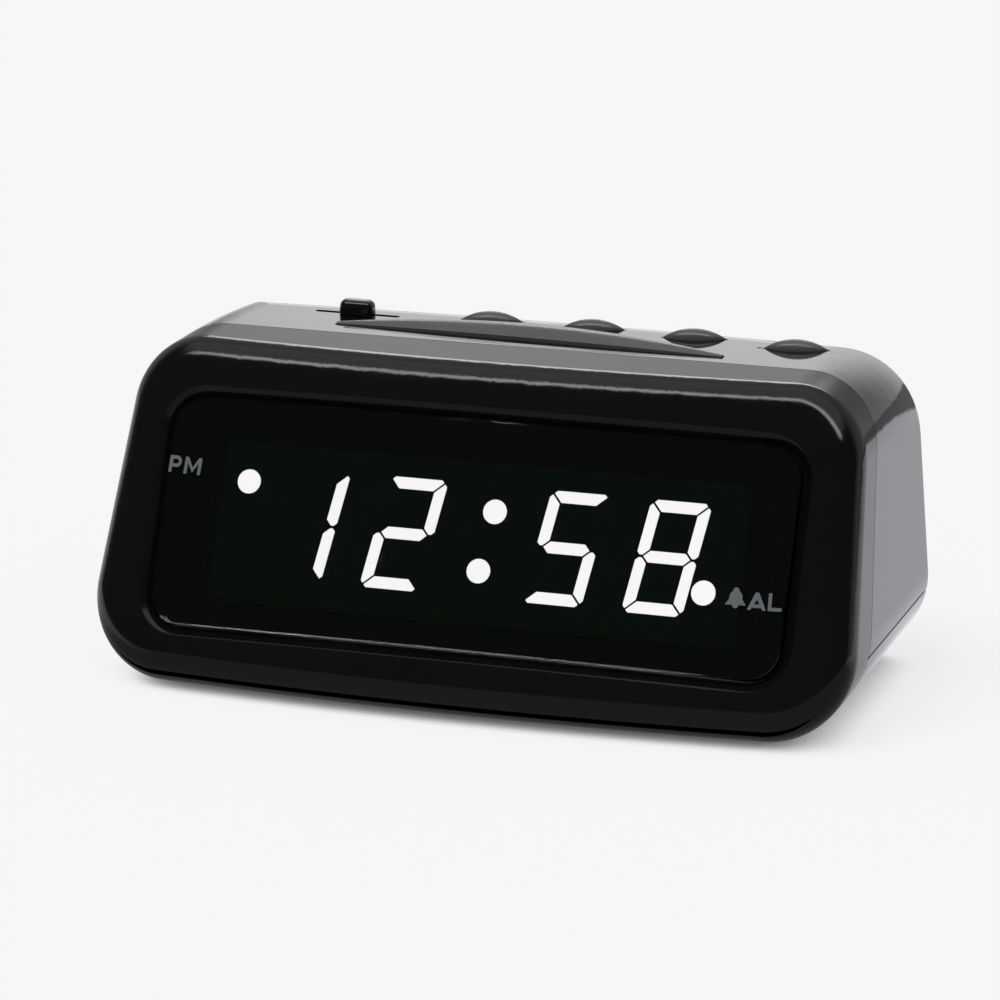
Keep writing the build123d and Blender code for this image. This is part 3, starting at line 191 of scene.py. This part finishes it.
for share, shader in (
    (rays.outputs["Is Camera Ray"], seen.outputs["Shader"]),
    (rays.outputs["Is Glossy Ray"], painted_reflection_glow.outputs["Emission"]),
    (side.outputs["Backfacing"], see_through.outputs["BSDF"]),
):
    shown = mixed(tree, share, shown, shader)
tree.links.new(shown, output.inputs["Surface"])
table_mesh.materials.append(table_finish)


# Studio: an even pale room for the colours, one broad lamp from the front left for the
# shadow, and for the gloss a bright backdrop low behind the clock, a grey ceiling, a dark
# front and two long thin lamps, one above the backdrop and one above the front.
seen_level = 0.92
even_level = 0.40
dark_front = (0.058, 0.058, 0.062)
backdrop_width = (("Y", 0.15, 0.5), ("X", 0.30, -0.14), ("X", -0.44, -0.33))
ceiling = ((0.75, 0.75, 0.77), (("Z", 0.72, 0.86), ("Y", -0.50, -0.38)))
rear_wall = ((0.42, 0.42, 0.44), (("Y", 0.05, 0.4), ("Z", 0.97, 0.82)))
backdrop = ((1.45, 1.46, 1.48), (*backdrop_width, ("Z", 0.56, 0.23)))
rear_lamp = ((4.6, 4.5, 4.4), (*backdrop_width, ("Z", 0.46, 0.50), ("Z", 0.62, 0.58)))
front_lamp = ((6.6, 6.3, 6.1), (("Z", 0.70, 0.80), ("Y", -0.29, -0.38), ("Y", -0.49, -0.40)))
room = bpy.data.worlds.new("studio")
bpy.context.scene.world = room
room.use_nodes = True
tree = room.node_tree
tree.nodes.clear()
heading = split_place(tree, "Generated")
surroundings = patched(
    tree, heading, dark_front, (ceiling, rear_wall, backdrop, rear_lamp, front_lamp)
)
gloss = tree.nodes.new("ShaderNodeBackground")
tree.links.new(surroundings, gloss.inputs["Color"])
even = tree.nodes.new("ShaderNodeBackground")
even.inputs["Color"].default_value = (even_level, even_level, even_level, 1)
beyond = tree.nodes.new("ShaderNodeBackground")
beyond.inputs["Color"].default_value = (seen_level, seen_level, seen_level, 1)
rays = tree.nodes.new("ShaderNodeLightPath")
shown = even.outputs["Background"]
for share, shader in (
    (rays.outputs["Is Glossy Ray"], gloss.outputs["Background"]),
    (rays.outputs["Is Camera Ray"], beyond.outputs["Background"]),
):
    shown = mixed(tree, share, shown, shader)
room_output = tree.nodes.new("ShaderNodeOutputWorld")
tree.links.new(shown, room_output.inputs["Surface"])

key_tilt = radians(22)
key_azimuth = radians(-35)
key_lamp = bpy.data.lights.new("key_lamp", "SUN")
key_lamp.energy = 2.45
key_lamp.angle = radians(35)
key = bpy.data.objects.new("key_lamp", key_lamp)
key.rotation_euler = (key_tilt, 0, key_azimuth)
key.visible_glossy = False
bpy.context.scene.collection.objects.link(key)


# Moulded case: top case and base tray, injection moulded in black plastic with a polished
# skin. They meet in a thin seam along the sides and are screwed together from below. The
# knob of the alarm switch is moulded in the same black.
def skin_group():
    """Marks of moulding and handling: a slow waviness, fine hairlines and dull smudges."""
    group = bpy.data.node_groups.new("moulded_skin", "ShaderNodeTree")
    wants = (("Wave Scale", 60.0), ("Hairline Scale", 900.0), ("Smudge Scale", 35.0),
             ("Polished", 0.05), ("Dull", 0.16), ("Hairline Share", 0.15))
    for name, value in wants:
        socket = group.interface.new_socket(name, in_out="INPUT", socket_type="NodeSocketFloat")
        socket.default_value = value
    for name in ("Roughness", "Height"):
        group.interface.new_socket(name, in_out="OUTPUT", socket_type="NodeSocketFloat")
    given = group.nodes.new("NodeGroupInput")
    out = group.nodes.new("NodeGroupOutput")
    place = group.nodes.new("ShaderNodeTexCoord")
    cover = {}
    for mark in ("Wave", "Hairline", "Smudge"):
        cover[mark] = group.nodes.new("ShaderNodeTexNoise")
        group.links.new(place.outputs["Object"], cover[mark].inputs["Vector"])
        group.links.new(given.outputs[mark + " Scale"], cover[mark].inputs["Scale"])
    cover["Smudge"].inputs["Detail"].default_value = 6
    smudge_edge = group.nodes.new("ShaderNodeMapRange")
    smudge_edge.inputs["From Min"].default_value = 0.42
    smudge_edge.inputs["From Max"].default_value = 0.72
    group.links.new(cover["Smudge"].outputs["Fac"], smudge_edge.inputs["Value"])
    group.links.new(given.outputs["Polished"], smudge_edge.inputs["To Min"])
    group.links.new(given.outputs["Dull"], smudge_edge.inputs["To Max"])
    group.links.new(smudge_edge.outputs["Result"], out.inputs["Roughness"])
    both = group.nodes.new("ShaderNodeMix")
    group.links.new(given.outputs["Hairline Share"], both.inputs["Factor"])
    group.links.new(cover["Wave"].outputs["Fac"], both.inputs["A"])
    group.links.new(cover["Hairline"].outputs["Fac"], both.inputs["B"])
    group.links.new(both.outputs["Result"], out.inputs["Height"])
    return group


moulded_skin = skin_group()


def new_finish(name):
    """Material with one Principled shader, called finish."""
    material = bpy.data.materials.new(name)
    tree, output = new_tree(material)
    shader = tree.nodes.new("ShaderNodeBsdfPrincipled")
    shader.name = "finish"
    tree.links.new(shader.outputs["BSDF"], output.inputs["Surface"])
    return material, tree, shader


def clouded(tree, first, second, scale, detail=2):
    """Colour that drifts between two tones in soft clouds."""
    place = tree.nodes.new("ShaderNodeTexCoord")
    cloud = tree.nodes.new("ShaderNodeTexNoise")
    cloud.inputs["Scale"].default_value = scale
    cloud.inputs["Detail"].default_value = detail
    tree.links.new(place.outputs["Object"], cloud.inputs["Vector"])
    tone = tree.nodes.new("ShaderNodeMix")
    tone.name = "tone"
    tone.data_type = "RGBA"
    tone.inputs["A"].default_value = (*first, 1)
    tone.inputs["B"].default_value = (*second, 1)
    tree.links.new(cloud.outputs["Fac"], tone.inputs["Factor"])
    return tone.outputs["Result"]


def marked(tree, shader, sizes):
    """Put the marks of the skin on a shader's roughness."""
    marks = tree.nodes.new("ShaderNodeGroup")
    marks.node_tree = moulded_skin
    for socket, value in sizes.items():
        marks.inputs[socket].default_value = value
    tree.links.new(marks.outputs["Roughness"], shader.inputs["Roughness"])
    return marks


def moulded(name, dark, light, polished, dull, bump, coat=0.0, metal=0.0, ior=1.5, skin=None):
    """Plastic, rubber or metal with a two-tone colour, smudged roughness and a fine bump."""
    material, tree, shader = new_finish(name)
    tree.links.new(clouded(tree, dark, light, scale=45, detail=5), shader.inputs["Base Color"])
    marks = marked(tree, shader, {"Polished": polished, "Dull": dull, **(skin or {})})
    relief = tree.nodes.new("ShaderNodeBump")
    relief.name = "relief"
    relief.inputs["Strength"].default_value = bump
    relief.inputs["Distance"].default_value = 0.0002
    tree.links.new(marks.outputs["Height"], relief.inputs["Height"])
    tree.links.new(relief.outputs["Normal"], shader.inputs["Normal"])
    shader.inputs["Metallic"].default_value = metal
    shader.inputs["IOR"].default_value = ior
    shader.inputs["Coat Weight"].default_value = coat
    shader.inputs["Coat Roughness"].default_value = 0.03
    return material


def dress(material, *names):
    """Put a finish on every material slot of these CAD nodes."""
    for name in names:
        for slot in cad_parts[name].material_slots:
            slot.material = material


case_plastic = moulded(
    "case_plastic", dark=(0.0022, 0.0021, 0.0024), light=(0.0042, 0.0040, 0.0045),
    polished=0.05, dull=0.12, bump=0.04, coat=0.25,
)
dress(case_plastic, "top_case", "base_tray", "alarm_knob")


# Front bezel: one black moulding with the bowed, leaning face and the lipped window
# opening, polished deeper than the case and held by two screws through its foot. Its top
# edge falls away to the front by a few degrees.
fall_slope = 0.07
fall_starts_z = 0.050
fall_full_z = 0.059
top_middle_y = -0.0016
bezel_plastic = moulded(
    "bezel_plastic", dark=(0.0020, 0.0020, 0.0022), light=(0.0036, 0.0036, 0.0039),
    polished=0.09, dull=0.13, bump=0.02, ior=1.47,
)
tree = bezel_plastic.node_tree
along = split_place(tree)
from_top_middle = tree.nodes.new("ShaderNodeMath")
from_top_middle.operation = "SUBTRACT"
from_top_middle.inputs[1].default_value = top_middle_y
tree.links.new(along.outputs["Y"], from_top_middle.inputs[0])
near_top = fade(tree, along, "Z", fall_starts_z, fall_full_z)
forward_fall = tree.nodes.new("ShaderNodeBump")
forward_fall.inputs["Distance"].default_value = fall_slope
tree.links.new(
    overlap(tree, near_top, from_top_middle.outputs["Value"]), forward_fall.inputs["Height"]
)
tree.links.new(forward_fall.outputs["Normal"], tree.nodes["relief"].inputs["Normal"])
dress(bezel_plastic, "front_bezel")


# Battery door: a flat plate of the case's plastic that slides rearwards out of its track,
# with four finger grooves, duller than the case from handling.
door_plastic = moulded(
    "door_plastic", dark=(0.0040, 0.0040, 0.0042), light=(0.0070, 0.0070, 0.0074),
    polished=0.15, dull=0.35, bump=0.10, coat=0.1,
)
dress(door_plastic, "battery_door")


# Window: smoked acrylic, polished, with its edge chamfered and pressed into the bezel.
# It is tinted through, so that only the lit segments show behind it.
smoke = (0.255, 0.28, 0.265)
thin_smoke = (0.27, 0.295, 0.28)
smoked_window, tree, window_shader = new_finish("smoked_window")
window_shader.inputs["Transmission Weight"].default_value = 1.0
window_shader.inputs["IOR"].default_value = 1.49
tree.links.new(clouded(tree, smoke, thin_smoke, scale=20), window_shader.inputs["Base Color"])
marked(tree, window_shader, {"Polished": 0.0, "Dull": 0.03})
dress(smoked_window, "display_lens")


# Printed marks: two short words and a bell, screen printed in slate grey on the window,
# with the slightly uneven cover of thin ink.
printed_ink = moulded(
    "printed_ink", dark=(0.085, 0.10, 0.105), light=(0.11, 0.125, 0.13),
    polished=0.5, dull=0.6, bump=0.0,
)
dress(printed_ink, "lens_marks")


# Lit segments: milky filler cast in the wells of the display block. The lit ones glow
# evenly, a little dimmer where the filling is thin.
def glowing(name, edge, colour, strength):
    """Filler or chip that shines, a little dimmer where it is thin."""
    material, tree, shader = new_finish(name)
    shader.inputs["Roughness"].default_value = 0.6
    shader.inputs["Base Color"].default_value = (0.5, 0.5, 0.5, 1)
    shader.inputs["Emission Strength"].default_value = strength
    tree.links.new(clouded(tree, edge, colour, scale=400), shader.inputs["Emission Color"])
    return material


lit_filler = glowing(
    "lit_filler", edge=(0.965, 0.872, 0.915), colour=(1.0, 0.895, 0.945), strength=3.8
)
dress(lit_filler, "lit_segments")


# Display block: matt black moulding around the segments, with the unlit ones filled in the
# same resin behind a dark filter. Both give off a faint painted green glow, though neither is
# lit.
painted_green_glow = (0.0, 0.0058, 0.0008)
housing_plastic = moulded(
    "housing_plastic", dark=(0.001, 0.0035, 0.0018), light=(0.0015, 0.006, 0.003),
    polished=0.5, dull=0.7, bump=0.1, ior=1.2,
)
unlit_filler = moulded(
    "unlit_filler", dark=(0.0012, 0.004, 0.002), light=(0.0018, 0.0065, 0.0033),
    polished=0.5, dull=0.7, bump=0.1, ior=1.2,
)
# Painted glow: a faint green light given off by the housing and the unlit filler.
for material in (housing_plastic, unlit_filler):
    shader = material.node_tree.nodes["finish"]
    shader.inputs["Emission Color"].default_value = (*painted_green_glow, 1)
    shader.inputs["Emission Strength"].default_value = 1.0
dress(housing_plastic, "display_housing")
dress(unlit_filler, "unlit_segments")


# Light chips: bare dies on the display board under a dab of yellow phosphor, one behind
# each bar and each lamp.
light_chip = glowing("light_chip", edge=(0.9, 0.8, 0.4), colour=(1.0, 0.9, 0.55), strength=0.5)
dress(light_chip, "light_chips")


# Circuit boards: glass fibre laminate under green solder mask. The copper tracks below the
# mask show as lighter lines in a square pattern.
def overlaid(material, share, colour):
    """Lay one more colour over a finish where the share is 1."""
    tree = material.node_tree
    over = tree.nodes.new("ShaderNodeMix")
    over.data_type = "RGBA"
    over.inputs["B"].default_value = (*colour, 1)
    tree.links.new(share, over.inputs["Factor"])
    tree.links.new(tree.nodes["tone"].outputs["Result"], over.inputs["A"])
    tree.links.new(over.outputs["Result"], tree.nodes["finish"].inputs["Base Color"])


track_tone = (0.007, 0.034, 0.013)
board_mask = moulded(
    "board_mask", dark=(0.003, 0.018, 0.008), light=(0.004, 0.024, 0.010),
    polished=0.35, dull=0.5, bump=0.15, ior=1.3,
)
tree = board_mask.node_tree
place = tree.nodes.new("ShaderNodeTexCoord")
tracks = tree.nodes.new("ShaderNodeTexBrick")
tracks.inputs["Scale"].default_value = 110
tracks.inputs["Mortar Size"].default_value = 0.035
tracks.inputs["Mortar"].default_value = (1, 1, 1, 1)
tracks.inputs["Color1"].default_value = (0, 0, 0, 1)
tracks.inputs["Color2"].default_value = (0, 0, 0, 1)
tree.links.new(place.outputs["Object"], tracks.inputs["Vector"])
overlaid(board_mask, tracks.outputs["Fac"], track_tone)
dress(board_mask, "display_board", "main_board", "key_board")


# Pins and contacts: tinned brass wire and strip, soft grey with a little grain from
# drawing and pressing.
tinned_metal = moulded(
    "tinned_metal", dark=(0.60, 0.60, 0.58), light=(0.74, 0.74, 0.72),
    polished=0.2, dull=0.4, bump=0.1, metal=1.0,
)
dress(tinned_metal, "display_pins", "inlet_pin", "contact_plates")


# Board screws: small zinc-plated pan heads that hold the main board and the key board to
# their bosses.
screw_steel = moulded(
    "screw_steel", dark=(0.38, 0.38, 0.39), light=(0.50, 0.50, 0.51),
    polished=0.25, dull=0.45, bump=0.1, metal=1.0,
)
dress(screw_steel, "main_board_screws", "key_board_screws")


# Board parts: two chips in matt black epoxy, the smoothing capacitor in its dark blue
# sleeve and the timing crystal in a drawn metal can.
chip_black = moulded(
    "chip_black", dark=(0.012, 0.012, 0.013), light=(0.02, 0.02, 0.021),
    polished=0.5, dull=0.7, bump=0.3,
)
dress(chip_black, "clock_chip", "driver_chip")
capacitor_sleeve = moulded(
    "capacitor_sleeve", dark=(0.010, 0.012, 0.045), light=(0.016, 0.020, 0.060),
    polished=0.2, dull=0.35, bump=0.1,
)
dress(capacitor_sleeve, "smoothing_capacitor")
crystal_can = moulded(
    "crystal_can", dark=(0.62, 0.62, 0.60), light=(0.72, 0.72, 0.70),
    polished=0.15, dull=0.3, bump=0.05, metal=1.0,
)
dress(crystal_can, "timing_crystal")


# Switches: black nylon bodies soldered to the key board, each with its own grey plunger
# under a key, and a slide switch with its peg under the alarm knob.
pressed_switches = ("snooze", "time", "alarm", "hour", "minute")
switch_body = moulded(
    "switch_body", dark=(0.012, 0.012, 0.012), light=(0.02, 0.02, 0.02),
    polished=0.4, dull=0.6, bump=0.2,
)
dress(switch_body, "slide_switch", *(name + "_switch" for name in pressed_switches))
switch_plunger = moulded(
    "switch_plunger", dark=(0.09, 0.09, 0.095), light=(0.12, 0.12, 0.125),
    polished=0.35, dull=0.5, bump=0.2,
)
dress(switch_plunger, "slide_switch_peg", *(name + "_plunger" for name in pressed_switches))


# Flat cable: grey ribbon of parallel wires between the boards, ribbed along its length,
# with a cream nylon plug at each end.
cable_jacket = moulded(
    "cable_jacket", dark=(0.20, 0.20, 0.21), light=(0.26, 0.26, 0.27),
    polished=0.45, dull=0.6, bump=0.0,
)
tree = cable_jacket.node_tree
place = tree.nodes.new("ShaderNodeTexCoord")
wires = tree.nodes.new("ShaderNodeTexWave")
wires.inputs["Scale"].default_value = 247
tree.links.new(place.outputs["Object"], wires.inputs["Vector"])
wire_relief = tree.nodes.new("ShaderNodeBump")
wire_relief.inputs["Strength"].default_value = 0.8
wire_relief.inputs["Distance"].default_value = 0.0003
tree.links.new(wires.outputs["Fac"], wire_relief.inputs["Height"])
tree.links.new(wire_relief.outputs["Normal"], tree.nodes["finish"].inputs["Normal"])
dress(cable_jacket, "flat_cable")
plug_plastic = moulded(
    "plug_plastic", dark=(0.66, 0.63, 0.52), light=(0.74, 0.71, 0.60),
    polished=0.4, dull=0.5, bump=0.2,
)
dress(plug_plastic, "cable_plugs")


# Power inlet: black moulded socket in the rear wall, with two soft insulated leads from
# its tail to the main board.
inlet_plastic = moulded(
    "inlet_plastic", dark=(0.010, 0.010, 0.010), light=(0.016, 0.016, 0.017),
    polished=0.3, dull=0.5, bump=0.2,
)
dress(inlet_plastic, "power_inlet")
lead_jacket = moulded(
    "lead_jacket", dark=(0.10, 0.006, 0.005), light=(0.14, 0.010, 0.008),
    polished=0.35, dull=0.5, bump=0.1,
)
dress(lead_jacket, "power_leads")


# Backup cells: two small steel cans in a printed foil wrapper, dark green with a copper
# band round each end.
copper_tone = (0.62, 0.33, 0.14)
green_ends_x = 0.0128
copper_starts_x = 0.0132
cell_wrapper = moulded(
    "cell_wrapper", dark=(0.010, 0.055, 0.022), light=(0.014, 0.070, 0.030),
    polished=0.2, dull=0.35, bump=0.1, metal=0.7,
)
tree = cell_wrapper.node_tree
from_middle = tree.nodes.new("ShaderNodeMath")
from_middle.operation = "ABSOLUTE"
tree.links.new(split_place(tree).outputs["X"], from_middle.inputs[0])
band = tree.nodes.new("ShaderNodeMapRange")
band.inputs["From Min"].default_value = green_ends_x
band.inputs["From Max"].default_value = copper_starts_x
tree.links.new(from_middle.outputs["Value"], band.inputs["Value"])
overlaid(cell_wrapper, band.outputs["Result"], copper_tone)
dress(cell_wrapper, "backup_cell_front", "backup_cell_rear")


# Cell springs: one tapered coil of spring wire for each cell, riveted by its wide turn to
# the contact plate and pressing the flat end of the cell with its narrow turn.
def geometry_tree(name, wants):
    """Geometry tree that takes a mesh and named sizes, with its group nodes."""
    group = bpy.data.node_groups.new(name, "GeometryNodeTree")
    group.interface.new_socket("Places", in_out="INPUT", socket_type="NodeSocketGeometry")
    for want, value in wants.items():
        socket = group.interface.new_socket(want, in_out="INPUT", socket_type="NodeSocketFloat")
        socket.default_value = value
    group.interface.new_socket("Finish", in_out="INPUT", socket_type="NodeSocketMaterial")
    group.interface.new_socket("Pieces", in_out="OUTPUT", socket_type="NodeSocketGeometry")
    return group, group.nodes.new("NodeGroupInput"), group.nodes.new("NodeGroupOutput")


def scaled(tree, value, factor):
    """Value times a plain number."""
    node = tree.nodes.new("ShaderNodeMath")
    node.operation = "MULTIPLY"
    node.inputs[1].default_value = factor
    tree.links.new(value, node.inputs[0])
    return node.outputs["Value"]


def places_mesh(name, places):
    """Mesh of bare points, one where each copy stands."""
    mesh = bpy.data.meshes.new(name)
    mesh.from_pydata(places, [], [])
    return mesh


def grown(name, mesh, group, finish, body):
    """Run a geometry tree on a mesh of places and keep its result as one plain piece."""
    seed = bpy.data.objects.new(name + "_places", mesh)
    bpy.context.scene.collection.objects.link(seed)
    modifier = seed.modifiers.new(name, "NODES")
    modifier.node_group = group
    modifier[group.interface.items_tree["Finish"].identifier] = finish
    evaluated = seed.evaluated_get(bpy.context.evaluated_depsgraph_get())
    result = bpy.data.meshes.new_from_object(evaluated)
    seed.modifiers.remove(modifier)
    bpy.data.objects.remove(seed)
    result.name = name
    piece = bpy.data.objects.new(name, result)
    bpy.context.scene.collection.objects.link(piece)
    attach(piece, body)
    return piece


spring_low, spring_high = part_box("cell_springs")
spring_run = 0.0039
spring_wide = 0.0029
spring_narrow = 0.0021
spring_wire = 0.0003
spring_turns = 4.0
spring_z = (spring_low[2] + spring_high[2]) / 2
spring_radius = (spring_high[2] - spring_low[2]) / 2
spring_ends = (
    (spring_low[0], spring_low[1] + spring_radius, spring_z),
    (spring_high[0], spring_high[1] - spring_radius, spring_z),
)
coil_tree, given, out = geometry_tree("tapered_coils", {
    "Run": spring_run, "Wide Radius": spring_wide, "Narrow Radius": spring_narrow,
    "Wire Radius": spring_wire, "Turns": spring_turns,
})
coil_line = coil_tree.nodes.new("GeometryNodeCurveSpiral")
coil_line.inputs["Resolution"].default_value = 28
coil_wire = coil_tree.nodes.new("GeometryNodeCurvePrimitiveCircle")
coil_wire.inputs["Resolution"].default_value = 10
coil_skin = coil_tree.nodes.new("GeometryNodeCurveToMesh")
coil_skin.inputs["Fill Caps"].default_value = True
coil_copies = coil_tree.nodes.new("GeometryNodeInstanceOnPoints")
coil_real = coil_tree.nodes.new("GeometryNodeRealizeInstances")
coil_finish = coil_tree.nodes.new("GeometryNodeSetMaterial")
facing = coil_tree.nodes.new("GeometryNodeInputPosition")
facing_parts = coil_tree.nodes.new("ShaderNodeSeparateXYZ")
facing_sign = coil_tree.nodes.new("ShaderNodeMath")
facing_sign.operation = "SIGN"
facing_turn = scaled(coil_tree, facing_sign.outputs["Value"], -pi / 2)
coil_turn = coil_tree.nodes.new("ShaderNodeCombineXYZ")
for start, end in (
    (given.outputs["Turns"], coil_line.inputs["Rotations"]),
    (given.outputs["Wide Radius"], coil_line.inputs["Start Radius"]),
    (given.outputs["Narrow Radius"], coil_line.inputs["End Radius"]),
    (given.outputs["Run"], coil_line.inputs["Height"]),
    (given.outputs["Wire Radius"], coil_wire.inputs["Radius"]),
    (coil_line.outputs["Curve"], coil_skin.inputs["Curve"]),
    (coil_wire.outputs["Curve"], coil_skin.inputs["Profile Curve"]),
    (given.outputs["Places"], coil_copies.inputs["Points"]),
    (coil_skin.outputs["Mesh"], coil_copies.inputs["Instance"]),
    (facing.outputs["Position"], facing_parts.inputs["Vector"]),
    (facing_parts.outputs["X"], facing_sign.inputs[0]),
    (facing_turn, coil_turn.inputs["Y"]),
    (coil_turn.outputs["Vector"], coil_copies.inputs["Rotation"]),
    (coil_copies.outputs["Instances"], coil_real.inputs["Geometry"]),
    (coil_real.outputs["Geometry"], coil_finish.inputs["Geometry"]),
    (given.outputs["Finish"], coil_finish.inputs["Material"]),
    (coil_finish.outputs["Geometry"], out.inputs["Pieces"]),
):
    coil_tree.links.new(start, end)
spring_places = places_mesh("spring_ends", spring_ends)
spring_coils = grown("spring_coils", spring_places, coil_tree, tinned_metal, "casing")
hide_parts("cell_springs")


# Case screws: four pan heads with a cross recess, sunk in the tray's wells. Two hold the
# foot of the bezel and two longer ones run up into posts of the top case.
screw_low, screw_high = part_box("case_screws")
head_radius = 0.0026
head_height = 0.0018
shank_radius = 0.0013
recess_reach = 0.0031
recess_width = 0.00065
recess_depth = 0.0011
seat_z = screw_low[2] + head_height
front_x = 0.051
front_y = screw_low[1] + head_radius
rear_y = screw_high[1] - head_radius
front_shank = 0.0062
rear_shank = screw_high[2] - seat_z
screw_places = places_mesh("screw_places", (
    (-front_x, front_y, seat_z),
    (front_x, front_y, seat_z),
    (screw_low[0] + head_radius, rear_y, seat_z),
    (screw_high[0] - head_radius, rear_y, seat_z),
))
shank_runs = screw_places.attributes.new("shank_run", "FLOAT", "POINT")
shank_runs.data.foreach_set("value", (front_shank, front_shank, rear_shank, rear_shank))
screw_tree, given, out = geometry_tree("cross_screws", {
    "Head Radius": head_radius, "Head Height": head_height, "Shank Radius": shank_radius,
    "Recess Reach": recess_reach, "Recess Width": recess_width, "Recess Depth": recess_depth,
})
grow = screw_tree.nodes.new
head = grow("GeometryNodeMeshCylinder")
head.inputs["Vertices"].default_value = 40
head_place = grow("GeometryNodeTransform")
head_middle = scaled(screw_tree, given.outputs["Head Height"], -0.5)
head_spot = grow("ShaderNodeCombineXYZ")
head_top = scaled(screw_tree, given.outputs["Head Height"], -1.0)
recess_spot = grow("ShaderNodeCombineXYZ")
bar_height = scaled(screw_tree, given.outputs["Recess Depth"], 2.0)
recessed = grow("GeometryNodeMeshBoolean")
recessed.operation = "DIFFERENCE"
head_copies = grow("GeometryNodeInstanceOnPoints")
shank = grow("GeometryNodeMeshCylinder")
shank.inputs["Vertices"].default_value = 24
shank.inputs["Depth"].default_value = 1.0
shank_place = grow("GeometryNodeTransform")
shank_place.inputs["Translation"].default_value = (0, 0, 0.5)
shank_copies = grow("GeometryNodeInstanceOnPoints")
shank_run = grow("GeometryNodeInputNamedAttribute")
shank_run.data_type = "FLOAT"
shank_run.inputs["Name"].default_value = "shank_run"
shank_stretch = grow("ShaderNodeCombineXYZ")
shank_stretch.inputs["X"].default_value = 1.0
shank_stretch.inputs["Y"].default_value = 1.0
screw_join = grow("GeometryNodeJoinGeometry")
screw_real = grow("GeometryNodeRealizeInstances")
screw_finish = grow("GeometryNodeSetMaterial")
for start, end in (
    (given.outputs["Head Radius"], head.inputs["Radius"]),
    (given.outputs["Head Height"], head.inputs["Depth"]),
    (head_middle, head_spot.inputs["Z"]),
    (head.outputs["Mesh"], head_place.inputs["Geometry"]),
    (head_spot.outputs["Vector"], head_place.inputs["Translation"]),
    (head_top, recess_spot.inputs["Z"]),
    (head_place.outputs["Geometry"], recessed.inputs["Mesh 1"]),
    (given.outputs["Places"], head_copies.inputs["Points"]),
    (recessed.outputs["Mesh"], head_copies.inputs["Instance"]),
    (given.outputs["Shank Radius"], shank.inputs["Radius"]),
    (shank.outputs["Mesh"], shank_place.inputs["Geometry"]),
    (given.outputs["Places"], shank_copies.inputs["Points"]),
    (shank_place.outputs["Geometry"], shank_copies.inputs["Instance"]),
    (shank_run.outputs["Attribute"], shank_stretch.inputs["Z"]),
    (shank_stretch.outputs["Vector"], shank_copies.inputs["Scale"]),
    (head_copies.outputs["Instances"], screw_join.inputs["Geometry"]),
    (shank_copies.outputs["Instances"], screw_join.inputs["Geometry"]),
    (screw_join.outputs["Geometry"], screw_real.inputs["Geometry"]),
    (screw_real.outputs["Geometry"], screw_finish.inputs["Geometry"]),
    (given.outputs["Finish"], screw_finish.inputs["Material"]),
    (screw_finish.outputs["Geometry"], out.inputs["Pieces"]),
):
    screw_tree.links.new(start, end)
for bar_x, bar_y in (("Recess Reach", "Recess Width"), ("Recess Width", "Recess Reach")):
    bar_size = grow("ShaderNodeCombineXYZ")
    bar = grow("GeometryNodeMeshCube")
    bar_place = grow("GeometryNodeTransform")
    for start, end in (
        (given.outputs[bar_x], bar_size.inputs["X"]),
        (given.outputs[bar_y], bar_size.inputs["Y"]),
        (bar_height, bar_size.inputs["Z"]),
        (bar_size.outputs["Vector"], bar.inputs["Size"]),
        (bar.outputs["Mesh"], bar_place.inputs["Geometry"]),
        (recess_spot.outputs["Vector"], bar_place.inputs["Translation"]),
        (bar_place.outputs["Geometry"], recessed.inputs["Mesh 2"]),
    ):
        screw_tree.links.new(start, end)
cross_screws = grown("cross_screws", screw_places, screw_tree, screw_steel, "casing")
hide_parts("case_screws")


# Sounder: sealed buzzer in a hard black shell, glued in its ring over the sound
# holes of the tray.
sounder_shell = moulded(
    "sounder_shell", dark=(0.010, 0.010, 0.010), light=(0.016, 0.016, 0.016),
    polished=0.4, dull=0.6, bump=0.2,
)
dress(sounder_shell, "sounder")


# Rubber feet: four soft discs glued in shallow recesses under the tray, matt and
# a little dusty.
foot_rubber = moulded(
    "foot_rubber", dark=(0.012, 0.012, 0.012), light=(0.030, 0.029, 0.028),
    polished=0.7, dull=0.9, bump=0.5, skin={"Hairline Scale": 2500.0, "Hairline Share": 0.7},
)
dress(foot_rubber, "rubber_feet")


# Press keys: the snooze bar and the four leaves behind it, moulded in a plastic a
# shade greyer than the case, each loose in its hole and carried on a switch below.
control_plastic = moulded(
    "control_plastic", dark=(0.055, 0.0545, 0.0545), light=(0.072, 0.0715, 0.071),
    polished=0.22, dull=0.32, bump=0.05, ior=1.6,
)
dress(control_plastic, "snooze_bar", "time_key", "alarm_key", "hour_key", "minute_key")
